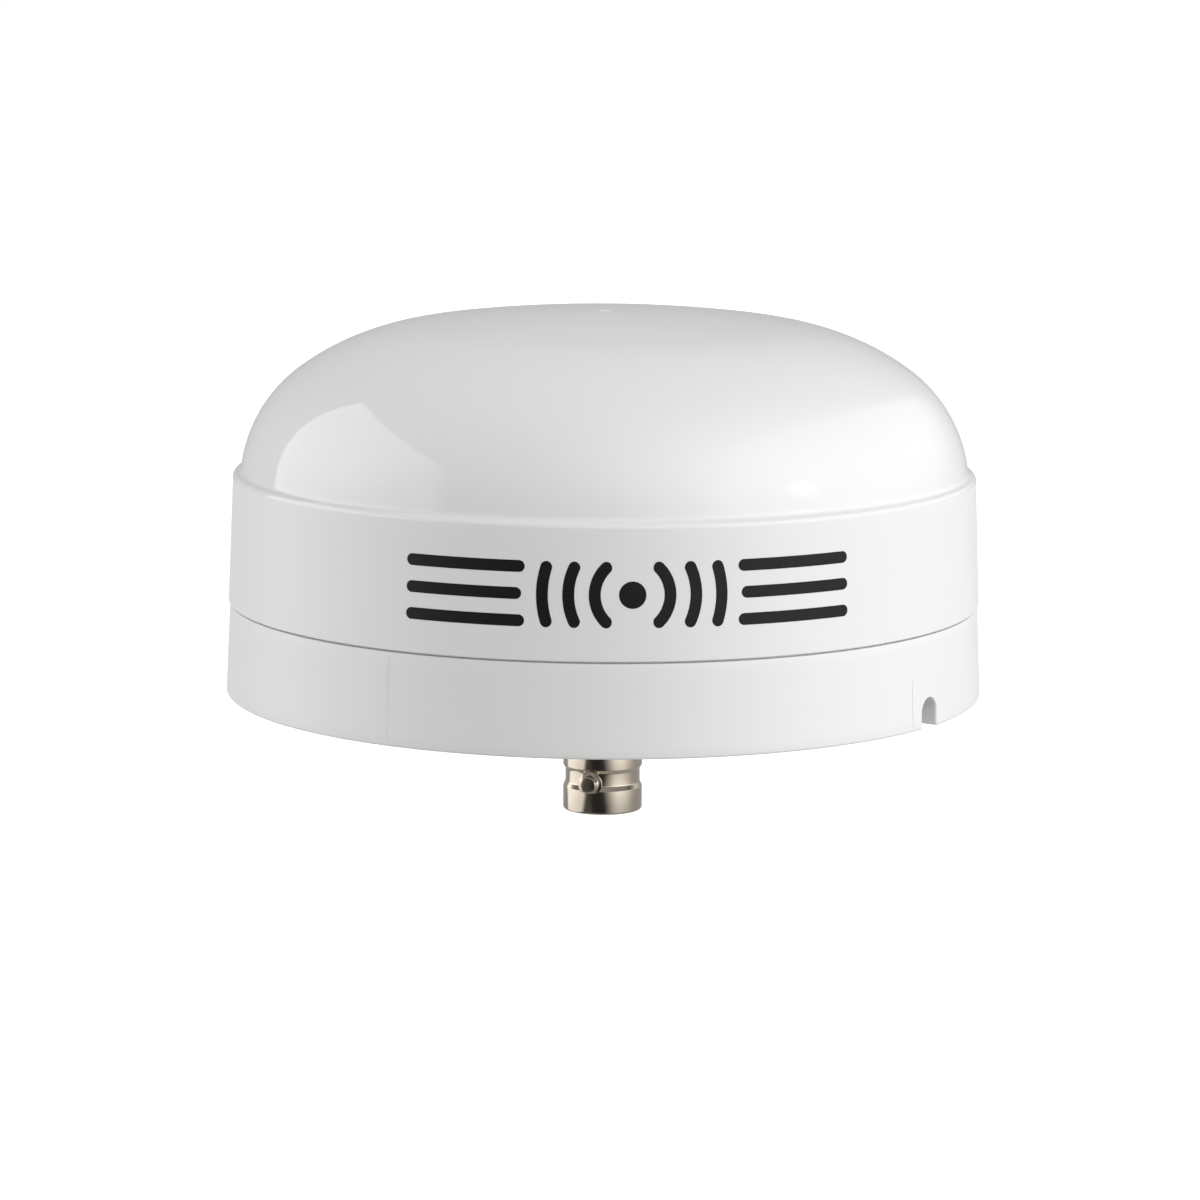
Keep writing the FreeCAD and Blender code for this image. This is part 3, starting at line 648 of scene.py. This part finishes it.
def slot_cutter():
    """The arched slot's space, its mouth and its lower corners flared so that they come out rounded."""
    bm = bmesh.new()
    ease_steps = 6
    arch_steps = 20
    mouth = skirt_radius(SLOT_ARCH_HEIGHT)
    stations = [(SKIRT_BORE - 2 * MM, 0.0), (mouth - SLOT_EASE, 0.0)]
    for k in range(1, ease_steps + 1):
        t = math.pi / 2 * k / ease_steps
        stations.append((mouth - SLOT_EASE + SLOT_EASE * math.sin(t), SLOT_EASE * (1 - math.cos(t))))
    stations.append((mouth + 0.6 * MM, SLOT_EASE + 0.9 * MM))
    rings = []
    for reach, flare in stations:
        half = SLOT_HALF_WIDTH + flare
        side = []
        for k in range(ease_steps + 1):
            low = SLOT_EASE * k / ease_steps
            flare_out = SLOT_EASE - math.sqrt(max(0.0, SLOT_EASE**2 - (SLOT_EASE - low) ** 2))
            side.append((half + flare_out, low))
        arch = []
        for k in range(arch_steps + 1):
            t = math.pi * k / arch_steps
            arch.append((half * math.cos(t), SLOT_ARCH_HEIGHT + half * math.sin(t)))
        outline = [(half + SLOT_EASE, -1.0 * MM)] + side + arch
        outline += [(-w, z) for w, z in reversed(side)] + [(-half - SLOT_EASE, -1.0 * MM)]
        rings.append([bm.verts.new((reach, w, z)) for w, z in outline])
    skinned(bm, rings)
    bm.faces.new(rings[0])
    bm.faces.new(list(reversed(rings[-1])))
    rotated(bm, "Z", SLOT_HEADING)
    return made("slot_cutter", bm)


def housing_holes():
    """What is drilled out of the housing: screw, stud and vent holes, and the posts' seats."""
    bm = bmesh.new()
    below, above = CEILING - MM, FLOOR_TOP + MM
    clear = HOUSING_HIGH.z + MM
    stud_bottom = 8.8 * MM
    shank, seat = 1.7 * MM, 3.5 * MM
    for k in range(4):
        screw = math.radians(POST_FIRST + 90 * k)
        hole = eased([(0, below, 0), (shank, below, 0), (shank, FLOOR_TOP, 0), (seat, FLOOR_TOP, 0),
                      (seat, clear, 0), (0, clear, 0)])
        lathed(bm, hole, steps=32, x=POST_RING * math.cos(screw), y=POST_RING * math.sin(screw))
        stud = math.radians(STUD_FIRST + 90 * k)
        blind = eased([(0, stud_bottom, 0), (STUD_HOLE, stud_bottom, 0),
                       (STUD_HOLE, above, 0), (0, above, 0)])
        lathed(bm, blind, steps=24, x=STUD_RING * math.cos(stud), y=STUD_RING * math.sin(stud))
    vent_low, vent_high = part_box("vent_membrane")
    middle = (vent_low + vent_high) / 2
    vent = eased([(0, below, 0), (VENT_HOLE, below, 0), (VENT_HOLE, above, 0), (0, above, 0)])
    lathed(bm, vent, steps=24, x=middle.x, y=middle.y)
    return made("housing_holes", bm)


def lock_catches(finish):
    """Three inward catches low on the skirt's bore, which the plate's tabs hold down."""
    bm = bmesh.new()
    root = SKIRT_BORE + 0.2 * MM
    outline = eased([(CATCH_REACH, CATCH_LOW, 0.25 * MM), (root, CATCH_LOW, 0), (root, CATCH_HIGH, 0),
                     (CATCH_REACH, CATCH_HIGH, 0.25 * MM)])
    lathed(bm, outline, steps=22, heading=-LOCK_SPAN / 2, span=LOCK_SPAN)
    source = made("catch_source", bm)
    return ring_of("lock_catches", source, 3, LOCK_FIRST, finish)


def base_ring(finish):
    """The base housing: skirt, ceiling, seal tongue and the jack's cup, with its slot and holes."""
    lip = SEAM - SEAM_GAP
    shelf = SKIRT_TOP - 0.6 * MM
    rim = HOUSING_HIGH.z
    corners = [
        (SKIRT_BORE, 0, 0.25 * MM), (SKIRT_FOOT, 0, 0.28 * MM), (SKIRT_TOP, lip, 0.16 * MM),
        (shelf, lip, 0), (shelf, SEAM, 0), (TONGUE_OUTER, SEAM, 0), (TONGUE_OUTER, SEAL_LOW, 0),
        (SEAL_GROOVE, SEAL_LOW, 0), (SEAL_GROOVE, SEAL_HIGH, 0), (TONGUE_OUTER, SEAL_HIGH, 0),
        (TONGUE_OUTER, rim, 0.3 * MM), (TONGUE_INNER, rim, 0.3 * MM), (TONGUE_INNER, FLOOR_TOP, 0.4 * MM),
        (CUP_INNER, FLOOR_TOP, 0.4 * MM), (CUP_INNER, CUP_FLOOR, 0), (JACK_SEAL_BORE, CUP_FLOOR, 0),
        (JACK_SEAL_BORE, JACK_SEAL_TOP, 0), (JACK_HOLE, JACK_SEAL_TOP, 0), (JACK_HOLE, CUP_BOTTOM, 0.1 * MM),
        (CUP_OUTER, CUP_BOTTOM, 0.5 * MM), (CUP_OUTER, CEILING, 0.6 * MM), (SKIRT_BORE, CEILING, 0.6 * MM),
    ]
    body = turned_piece("skirt_body", divided(eased(corners), 1.3 * MM))
    body = carved(body, housing_holes(), "skirt_drilled")
    body = painted(carved(body, slot_cutter(), "skirt_slotted", crease=38.0), finish["satin"])
    ring = joined("base_ring", [body, lock_catches(finish["satin"])])
    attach(ring, "antenna")
    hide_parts("base_housing")
    return ring


def raised_line(bm, route):
    """A low moulded ridge over the skirt along a route of (heading, height) places."""
    sections = []
    for i, (heading, height) in enumerate(route):
        before = route[max(i - 1, 0)]
        after = route[min(i + 1, len(route) - 1)]
        along = Vector((math.radians(after[0] - before[0]) * SKIRT_FOOT, after[1] - before[1])).normalized()
        across = Vector((-along.y, along.x)) * LINE_HALF_WIDTH
        section = []
        for side, lift in ((-1, -0.02 * MM), (-0.5, LINE_PROUD), (0.5, LINE_PROUD), (1, -0.02 * MM)):
            angle = math.radians(heading) + across.x * side / SKIRT_FOOT
            z = height + across.y * side
            radius = skirt_radius(z) + lift
            section.append(bm.verts.new((radius * math.cos(angle), radius * math.sin(angle), z)))
        sections.append(section)
    skinned(bm, sections)
    bm.faces.new(sections[0])
    bm.faces.new(list(reversed(sections[-1])))


def mould_lines(finish):
    """Witness lines that the moulding tool leaves: a side of the slot's insert, and a split line."""
    bm = bmesh.new()
    start = 0.35 * MM
    corner = 1.0 * MM
    shoulder = 6.36 * MM - corner
    side = SLOT_HEADING - 4.6
    corner_span = math.degrees(corner / SKIRT_FOOT)
    insert = [(side, start + (shoulder - start) * k / 6) for k in range(7)]
    for k in range(1, 7):
        t = math.pi / 2 * k / 6
        insert.append((side + corner_span * (1 - math.cos(t)), shoulder + corner * math.sin(t)))
    insert += [(side + corner_span * (1 + k / 4), shoulder + corner) for k in range(1, 5)]
    raised_line(bm, insert)
    split_top = 10.4 * MM
    raised_line(bm, [(SPLIT_HEADING, start + (split_top - start) * k / 10) for k in range(11)])
    lines = made("mould_lines", bm)
    lines.data.materials.append(finish["satin"])
    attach(lines, "antenna")
    return lines


def jack_outline():
    """The jack's turned body, from its mouth up: collar, waist, grooved barrel, thread and solder end."""
    waist = 4.55 * MM
    ease = 0.12 * MM
    groove = COLLAR - ease
    relief = 4.3 * MM
    thread_top = 4.2 * MM
    stem = 3.6 * MM
    bore = 2.5 * MM
    return eased([
        (BARREL_BORE, JACK_MOUTH, 0.2 * MM), (COLLAR, JACK_MOUTH, 0.3 * MM), (COLLAR, -12.1 * MM, 0.1 * MM),
        (waist, -11.5 * MM, 0.5 * MM), (waist, -9.9 * MM, 0.5 * MM), (COLLAR, -9.5 * MM, ease),
        (COLLAR, -7.6 * MM, 0.05 * MM), (groove, -7.5 * MM, 0), (groove, -7.3 * MM, 0),
        (COLLAR, -7.2 * MM, 0.05 * MM), (COLLAR, -5.0 * MM, 0.2 * MM), (relief, -5.0 * MM, 0),
        (relief, -4.6 * MM, 0), (THREAD_CORE, -4.4 * MM, 0), (THREAD_CORE, thread_top, 0),
        (stem, thread_top, 0), (stem, JACK_HIGH.z, 0.2 * MM), (bore, JACK_HIGH.z, 0),
        (bore, -5.2 * MM, 0), (BARREL_BORE, -5.2 * MM, 0),
    ])


def six_corners(bm, reach, height):
    corners = []
    for k in range(6):
        angle = ROUND * k / 6
        corners.append(bm.verts.new((reach * math.cos(angle), reach * math.sin(angle), height)))
    return corners


def hexagon_block(bm, low, high, ease, bore):
    """A six-sided block with a bore, its rims chamfered."""
    corner = HEXAGON_FLATS / math.sqrt(3)
    outer = []
    inner = []
    levels = ((low, corner - ease), (low + ease, corner), (high - ease, corner), (high, corner - ease))
    for height, reach in levels:
        outer.append(six_corners(bm, reach, height))
        inner.append(six_corners(bm, bore, height))
    skinned(bm, outer)
    skinned(bm, inner)
    skinned(bm, (outer[0], inner[0]))
    skinned(bm, (outer[-1], inner[-1]))


def lug_outline():
    """A round pin that swells into a foot where it meets the barrel."""
    radius, foot = 1.02 * MM, 1.5 * MM
    root, fillet, tip = 4.2 * MM, 4.86 * MM, 5.5 * MM
    return eased([(0, root, 0), (foot, root, 0), (foot, 4.7 * MM, 0), (radius, fillet, 0.3 * MM),
                  (radius, tip, 0.18 * MM), (0, tip, 0)])


def jack_shell(finish):
    """The bayonet jack's plated body with its two lugs, its thread and its inner flange."""
    shell = turned_piece("jack_turned", jack_outline(), steps=128)
    bm = bmesh.new()
    lathed(bm, lug_outline(), steps=40)
    rotated(bm, "Y", 90)
    bmesh.ops.translate(bm, vec=(0, 0, LUG_HEIGHT), verts=bm.verts)
    lug = made("lug_source", bm)
    lugs = ring_of("jack_lugs", lug, 2, LUG_HEADING, finish["nickel"])
    bm = bmesh.new()
    hexagon_block(bm, FLANGE_LOW, FLANGE_HIGH, 0.35 * MM, 3.5 * MM)
    flange = made("jack_flange", bm)
    thread = grown("jack_thread", THREAD, Radius=THREAD_CREST, Turns=10.4, Rise=8.26 * MM,
                   Ridge=0.27 * MM, Start=-4.25 * MM, Finish=finish["nickel"])
    for piece in (shell, flange):
        piece.data.materials.append(finish["nickel"])
    body = joined("jack_shell", [shell, lugs, flange, painted(thread, finish["nickel"])])
    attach(body, "antenna")
    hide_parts("jack_body")
    return body


def panel_nut(finish):
    bm = bmesh.new()
    hexagon_block(bm, NUT_LOW.z, NUT_HIGH.z, 0.3 * MM, 4.85 * MM)
    low, high = NUT_LOW.z + 0.1 * MM, NUT_HIGH.z - 0.1 * MM
    bore, web = 4.3 * MM, 6.1 * MM
    lathed(bm, eased([(bore, low, 0), (web, low, 0), (web, high, 0), (bore, high, 0)]), steps=96)
    nut = made("panel_nut", bm)
    nut.data.materials.append(finish["nickel"])
    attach(nut, "antenna")
    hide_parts("jack_nut")
    return nut


def tooth_washer(finish):
    """Flat lock washer whose inner rim is a ring of twisted teeth."""
    bore = 5.7 * MM
    ring = turned_piece("washer_ring", eased([
        (bore, WASHER_LOW.z, 0), (WASHER_HIGH.x, WASHER_LOW.z, 0.1 * MM),
        (WASHER_HIGH.x, WASHER_HIGH.z, 0.1 * MM), (bore, WASHER_HIGH.z, 0)]), steps=96)
    ring.data.materials.append(finish["nickel"])
    bm = bmesh.new()
    bmesh.ops.create_cube(bm, size=1.0)
    bmesh.ops.scale(bm, vec=(1.0 * MM, 1.9 * MM, 0.42 * MM), verts=bm.verts)
    rotated(bm, "X", 5)
    bmesh.ops.translate(bm, vec=(5.4 * MM, 0, (WASHER_LOW.z + WASHER_HIGH.z) / 2), verts=bm.verts)
    source = made("tooth_source", bm)
    teeth = ring_of("washer_teeth", source, 10, 0.0, finish["nickel"])
    washer = joined("tooth_washer", [ring, teeth])
    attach(washer, "antenna")
    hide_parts("jack_washer")
    return washer


def plate_holes():
    """Clearance holes of the three deck screws, countersunk below, with room for their heads above."""
    bm = bmesh.new()
    mouth, shank, head = 3.6 * MM, 2.25 * MM, 4.3 * MM
    seat = 3.0 * MM
    for k in range(3):
        angle = math.radians(90 + 120 * k)
        hole = eased([(0, -MM, 0), (mouth, -MM, 0), (shank, 0.35 * MM, 0), (shank, seat, 0),
                      (head, seat, 0), (head, 7 * MM, 0), (0, 7 * MM, 0)])
        lathed(bm, hole, steps=48, x=DECK_SCREW_RING * math.cos(angle), y=DECK_SCREW_RING * math.sin(angle))
    return made("plate_holes", bm)


def plate_body(finish):
    """The plate's ring with the gasket's groove round its underside."""
    ring = eased([
        (PLATE_BORE, 0, 0.4 * MM), (GROOVE_INNER, 0, 0.2 * MM), (GROOVE_INNER, GROOVE_DEPTH, 0),
        (GROOVE_OUTER, GROOVE_DEPTH, 0), (GROOVE_OUTER, 0, 0.2 * MM), (PLATE_RIM, 0, 0.3 * MM),
        (PLATE_RIM, PLATE_TOP, 0.3 * MM), (PLATE_BORE, PLATE_TOP, 0.4 * MM)])
    body = turned_piece("plate_body", divided(ring, 2.5 * MM))
    return painted(carved(body, plate_holes(), "plate_drilled"), finish)


def plate_tabs(finish):
    """Three tabs that hold the catches down, each with its stop."""
    bm = bmesh.new()
    ease = 0.2 * MM
    top = PLATE_HIGH.z
    upper = [(PLATE_REACH, top, ease), (TAB_ROOT, top, ease)]
    tab = eased([(TAB_ROOT, 4.5 * MM, 0), (PLATE_REACH, 4.5 * MM, ease)] + upper)
    lathed(bm, tab, steps=24, heading=-LOCK_SPAN / 2 - 0.5, span=LOCK_SPAN + 0.5)
    stop = eased([(TAB_ROOT, 2.2 * MM, 0), (PLATE_REACH, 2.2 * MM, ease)] + upper)
    lathed(bm, stop, steps=6, heading=-LOCK_SPAN / 2 - 4.5, span=4.0)
    source = made("tab_source", bm)
    return ring_of("plate_tabs", source, 3, LOCK_FIRST, finish)


def lock_screw_block(finish):
    """The block behind the slot, drilled for the lock screw."""
    bm = bmesh.new()
    ease = 0.2 * MM
    top = 4.4 * MM
    block = eased([(TAB_ROOT, 0, 0), (PLATE_REACH, 0, ease), (PLATE_REACH, top, ease), (TAB_ROOT, top, 0)])
    lathed(bm, block, steps=12, heading=SLOT_HEADING - 5.5, span=11.0)
    screw_block = made("screw_block", bm)
    bm = bmesh.new()
    near, far = 36.4 * MM, 43 * MM
    hole = eased([(0, near, 0), (LOCK_SCREW_HOLE, near, 0), (LOCK_SCREW_HOLE, far, 0), (0, far, 0)])
    lathed(bm, hole, steps=40)
    rotated(bm, "Y", 90)
    bmesh.ops.translate(bm, vec=(0, 0, SLOT_ARCH_HEIGHT), verts=bm.verts)
    rotated(bm, "Z", SLOT_HEADING)
    drill = made("screw_drill", bm)
    return painted(carved(screw_block, drill, "screw_block_drilled"), finish)


def lock_plate(finish):
    """The twist-lock mounting plate: ring, three tabs and the lock screw's block."""
    own = finish["plate"]
    plate = joined("lock_plate", [plate_body(own), plate_tabs(own), lock_screw_block(own)])
    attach(plate, "mount")
    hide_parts("mount_plate")
    return plate


def foam_gasket(finish):
    inner = GASKET_HIGH.x - 4.6 * MM
    outline = eased([
        (inner, GASKET_LOW.z, 0.35 * MM), (GASKET_HIGH.x, GASKET_LOW.z, 0.35 * MM),
        (GASKET_HIGH.x, GASKET_HIGH.z, 0.1 * MM), (inner, GASKET_HIGH.z, 0.1 * MM)])
    ring = turned_piece("foam_gasket", divided(outline, 1.0 * MM))
    ring.data.materials.append(finish["foam"])
    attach(ring, "mount")
    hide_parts("deck_gasket")
    return ring


# ---------------------------------------------------------------- the printed graphic

def flat_strip(bm, left_edge, right_edge):
    """Quads between two rows of flat places of equal length."""
    left = [bm.verts.new((u, v, 0)) for u, v in left_edge]
    right = [bm.verts.new((u, v, 0)) for u, v in right_edge]
    for k in range(len(left) - 1):
        bm.faces.new([left[k], left[k + 1], right[k + 1], right[k]])


def flat_dot(bm, radius):
    """A disc laid out in rows, so that it bends well."""
    rows = 24
    lower = []
    upper = []
    for k in range(rows + 1):
        t = math.pi * k / rows
        u = -radius * math.cos(t)
        reach = max(radius * math.sin(t), 1e-6)
        lower.append((u, -reach))
        upper.append((u, reach))
    flat_strip(bm, lower, upper)


def stroke_stations(first, last, steps, cap_length):
    """(place, half width) pairs along a printed stroke, with a round cap past each end of the run."""
    half = PRINT_STROKE / 2
    cap_steps = 8
    cap = []
    for k in range(cap_steps):
        t = math.pi / 2 * k / cap_steps
        cap.append((cap_length * math.cos(t), max(half * math.sin(t), 1e-6)))
    run = [(first + (last - first) * k / steps, half) for k in range(steps + 1)]
    opening = [(first - past, width) for past, width in cap]
    closing = [(last + past, width) for past, width in reversed(cap)]
    return opening + run + closing


def flat_wave(bm, radius, side):
    """A bold arc about the dot, round-ended, cut to the graphic's height."""
    half = PRINT_STROKE / 2
    limit = math.asin((PRINT_HALF_HEIGHT - half) / radius)
    inner = []
    outer = []
    for angle, width in stroke_stations(-limit, limit, 28, half / radius):
        c, s = math.cos(angle), math.sin(angle)
        inner.append((side * (radius - width) * c, (radius - width) * s))
        outer.append((side * (radius + width) * c, (radius + width) * s))
    flat_strip(bm, inner, outer)


def flat_bar(bm, start, end, middle):
    """A level bar with round ends."""
    half = PRINT_STROKE / 2
    steps = max(6, math.ceil((end - start) / (0.8 * MM)))
    stations = stroke_stations(start + half, end - half, steps, half)
    low = [(u, middle - width) for u, width in stations]
    high = [(u, middle + width) for u, width in stations]
    flat_strip(bm, low, high)


def band_graphic(finish):
    """A plain black emblem on the band: a dot between waves, with stripes running out to both sides."""
    bm = bmesh.new()
    flat_dot(bm, DOT_RADIUS)
    for radius in WAVE_RADII:
        flat_wave(bm, radius, 1)
        flat_wave(bm, radius, -1)
    for row in (-1, 0, 1):
        middle = row * (PRINT_HALF_HEIGHT - PRINT_STROKE / 2)
        start = math.sqrt(STRIPE_START**2 - middle**2)
        flat_bar(bm, start, PRINT_HALF_WIDTH, middle)
        flat_bar(bm, -PRINT_HALF_WIDTH, -start, middle)
    bmesh.ops.remove_doubles(bm, verts=bm.verts, dist=0.0005 * MM)
    front = list(bm.faces)
    raised = bmesh.ops.extrude_face_region(bm, geom=front, use_keep_orig=True)["geom"]
    for vert in raised:
        if isinstance(vert, bmesh.types.BMVert):
            vert.co.z = 1.0
    outside = dome_outline()
    low, high = outside[-1], outside[-1 - BAND_STEPS]
    band_slope = (low.x - high.x) / (high.y - low.y)
    for vert in bm.verts:
        height = PRINT_MIDDLE + vert.co.y
        surface = low.x - (height - low.y) * band_slope
        radius = surface + (PRINT_FILM if vert.co.z > 0.5 else -PRINT_FILM)
        angle = math.radians(PRINT_HEADING) + vert.co.x / COVER_FOOT
        vert.co = (radius * math.cos(angle), radius * math.sin(angle), height)
    graphic = made("band_graphic", bm)
    graphic.data.materials.append(finish["ink"])
    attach(graphic, "antenna")
    return graphic


# ---------------------------------------------------------------- CAD pieces that stay

CARRIED = {
    "lock_screw": "steel", "cover_seal_ring": "seal", "cover_inserts": "brass", "housing_screws": "steel",
    "jack_dielectric": "ptfe", "jack_contact": "gold", "jack_seal_ring": "seal", "circuit_board": "laminate",
    "board_standoffs": "brass", "board_screws": "steel", "patch_adhesive_pad": "adhesive",
    "patch_ceramic": "ceramic", "patch_electrode": "silver", "feed_pin": "silver", "feed_solder": "tin",
    "shield_frame": "tin", "shield_lid": "tin", "band_filter": "epoxy", "amplifier_chips": "epoxy",
    "regulator_chip": "epoxy", "chip_inductors": "chip", "chip_capacitors": "chip", "chip_resistors": "epoxy",
    "signal_cable": "jacket", "cable_plug": "gold", "board_socket": "gold", "vent_membrane": "film",
}


def dress_cad_pieces(finish):
    for node, kind in CARRIED.items():
        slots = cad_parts[node].data.materials
        slots.clear()
        slots.append(finish[kind])


# ---------------------------------------------------------------- stage, light and camera

ROOM_LEVEL = 0.485
DARKEST = 0.03
# azimuth, elevation, tightness and strength of each
ROOM_GLOWS = (
    (48, 27, 3.6, 2.06),
    (-45, 62, 2.0, -0.5),
    (-92, 14, 8.7, 1.6),
    (-83, -7.5, 5.0, -0.87),
    (-3, -15.7, 6.3, -0.70),
    (66.7, 18.5, 500.0, 5.0),
)
# strength of each, then azimuth and elevation of every edge's inner side, and its softness
SOFTBOXES = (
    (1.35, ((-35.6, 10.8, 0.01), (-104.6, -44.9, 0.01), (-135.0, -8.7, 0.22), (-126.2, 38.9, 0.18))),
    (0.5, ((117.3, -10.3, 0.16), (76.3, -33.5, 0.05), (60.0, 72.0, 0.4))),
)


def pale_floor():
    """White ground well below, seen only by the camera."""
    drop = 2.0
    reach = 30.0
    bm = bmesh.new()
    bmesh.ops.create_grid(bm, x_segments=2, y_segments=2, size=reach)
    bmesh.ops.translate(bm, vec=(0, 0, -drop), verts=bm.verts)
    mesh = bpy.data.meshes.new("floor")
    bm.to_mesh(mesh)
    bm.free()
    floor = new_piece("floor", mesh)
    material, nodes, links, shader = new_finish("pale_floor")
    shader.inputs["Base Color"].default_value = (0.93, 0.93, 0.93, 1)
    shader.inputs["Roughness"].default_value = 0.9
    shader.inputs["Emission Color"].default_value = (1, 1, 1, 1)
    shader.inputs["Emission Strength"].default_value = 0.5
    floor.data.materials.append(material)
    floor.visible_diffuse = False
    floor.visible_glossy = False
    floor.visible_shadow = False


def direction(azimuth, elevation):
    """Unit vector; azimuth 0 is the front, -Y, and positive is to the right seen from the front."""
    a, e = math.radians(azimuth), math.radians(elevation)
    return Vector((math.sin(a) * math.cos(e), -math.cos(a) * math.cos(e), math.sin(e)))


def along_heading(nodes, links, azimuth, elevation):
    """How far the looked-at direction points along a heading."""
    coords = nodes.new("ShaderNodeTexCoord")
    along = nodes.new("ShaderNodeVectorMath")
    along.operation = "DOT_PRODUCT"
    along.inputs[1].default_value = direction(azimuth, elevation)
    links.new(coords.outputs["Generated"], along.inputs[0])
    return along.outputs["Value"]


def reckoned(nodes, links, operation, first, second):
    """The result of a Math node on a socket and a plain number."""
    step = nodes.new("ShaderNodeMath")
    step.operation = operation
    step.inputs[1].default_value = second
    links.new(first, step.inputs[0])
    return step.outputs["Value"]


def glow(nodes, links, azimuth, elevation, tightness, strength):
    """A round soft patch of the room, or a shade where the strength is negative."""
    ahead = reckoned(nodes, links, "MAXIMUM", along_heading(nodes, links, azimuth, elevation), 0.0)
    fall = reckoned(nodes, links, "POWER", ahead, tightness)
    return reckoned(nodes, links, "MULTIPLY", fall, strength)


def softbox(nodes, links, strength, edges):
    """A flat lit panel of the room: lit on the inner side of every edge, each with its own softness."""
    share = None
    for azimuth, elevation, softness in edges:
        ramp = nodes.new("ShaderNodeMapRange")
        ramp.interpolation_type = "SMOOTHSTEP"
        ramp.inputs["From Min"].default_value = 0.0
        ramp.inputs["From Max"].default_value = softness
        ramp.inputs["To Max"].default_value = strength
        links.new(along_heading(nodes, links, azimuth, elevation), ramp.inputs["Value"])
        if share:
            links.new(share, ramp.inputs["To Max"])
        share = ramp.outputs["Result"]
    return share


def room_strength(nodes, links):
    """The room's level with every panel and glow added, never below the darkest corner."""
    parts = [softbox(nodes, links, *panel) for panel in SOFTBOXES]
    parts += [glow(nodes, links, *patch) for patch in ROOM_GLOWS]
    total = reckoned(nodes, links, "ADD", parts[0], ROOM_LEVEL)
    for part in parts[1:]:
        add = nodes.new("ShaderNodeMath")
        add.operation = "ADD"
        links.new(total, add.inputs[0])
        links.new(part, add.inputs[1])
        total = add.outputs["Value"]
    return reckoned(nodes, links, "MAXIMUM", total, DARKEST)


def studio_surround():
    """The lit room, which only the pieces see; the camera sees plain white behind them."""
    world = bpy.data.worlds.new("studio")
    bpy.context.scene.world = world
    world.use_nodes = True
    nodes, links = world.node_tree.nodes, world.node_tree.links
    nodes.clear()
    room = nodes.new("ShaderNodeBackground")
    plain = nodes.new("ShaderNodeBackground")
    for backdrop in (room, plain):
        backdrop.inputs["Color"].default_value = (1, 1, 1, 1)
    links.new(room_strength(nodes, links), room.inputs["Strength"])
    seen = nodes.new("ShaderNodeLightPath")
    mix = nodes.new("ShaderNodeMixShader")
    out = nodes.new("ShaderNodeOutputWorld")
    links.new(seen.outputs["Is Camera Ray"], mix.inputs["Fac"])
    links.new(room.outputs["Background"], mix.inputs[1])
    links.new(plain.outputs["Background"], mix.inputs[2])
    links.new(mix.outputs["Shader"], out.inputs["Surface"])


def studio_camera():
    """In front and a little above, looking slightly down, with a slight roll."""
    tilt = 9.37
    roll = 0.36
    camera = bpy.data.cameras.new("camera")
    camera.lens = 147.9
    camera.sensor_width = 36.0
    camera.clip_start = 0.01
    camera.clip_end = 100.0
    camera.dof.use_dof = False
    eye = bpy.data.objects.new("camera", camera)
    eye.location = (-0.00045, -0.5914, 0.10833)
    eye.rotation_euler = (Matrix.Rotation(math.radians(90 - tilt), 3, "X")
                          @ Matrix.Rotation(math.radians(roll), 3, "Z")).to_euler()
    bpy.context.scene.collection.objects.link(eye)
    bpy.context.scene.camera = eye


# ---------------------------------------------------------------- assembly

RING = ring_tree()
THREAD = thread_tree()

studio_camera()
finishes = make_finishes()
domed_cover(finishes)
base_ring(finishes)
mould_lines(finishes)
band_graphic(finishes)
jack_shell(finishes)
panel_nut(finishes)
tooth_washer(finishes)
lock_plate(finishes)
foam_gasket(finishes)
dress_cad_pieces(finishes)
pale_floor()
studio_surround()
bpy.context.scene.view_settings.view_transform = "Standard"
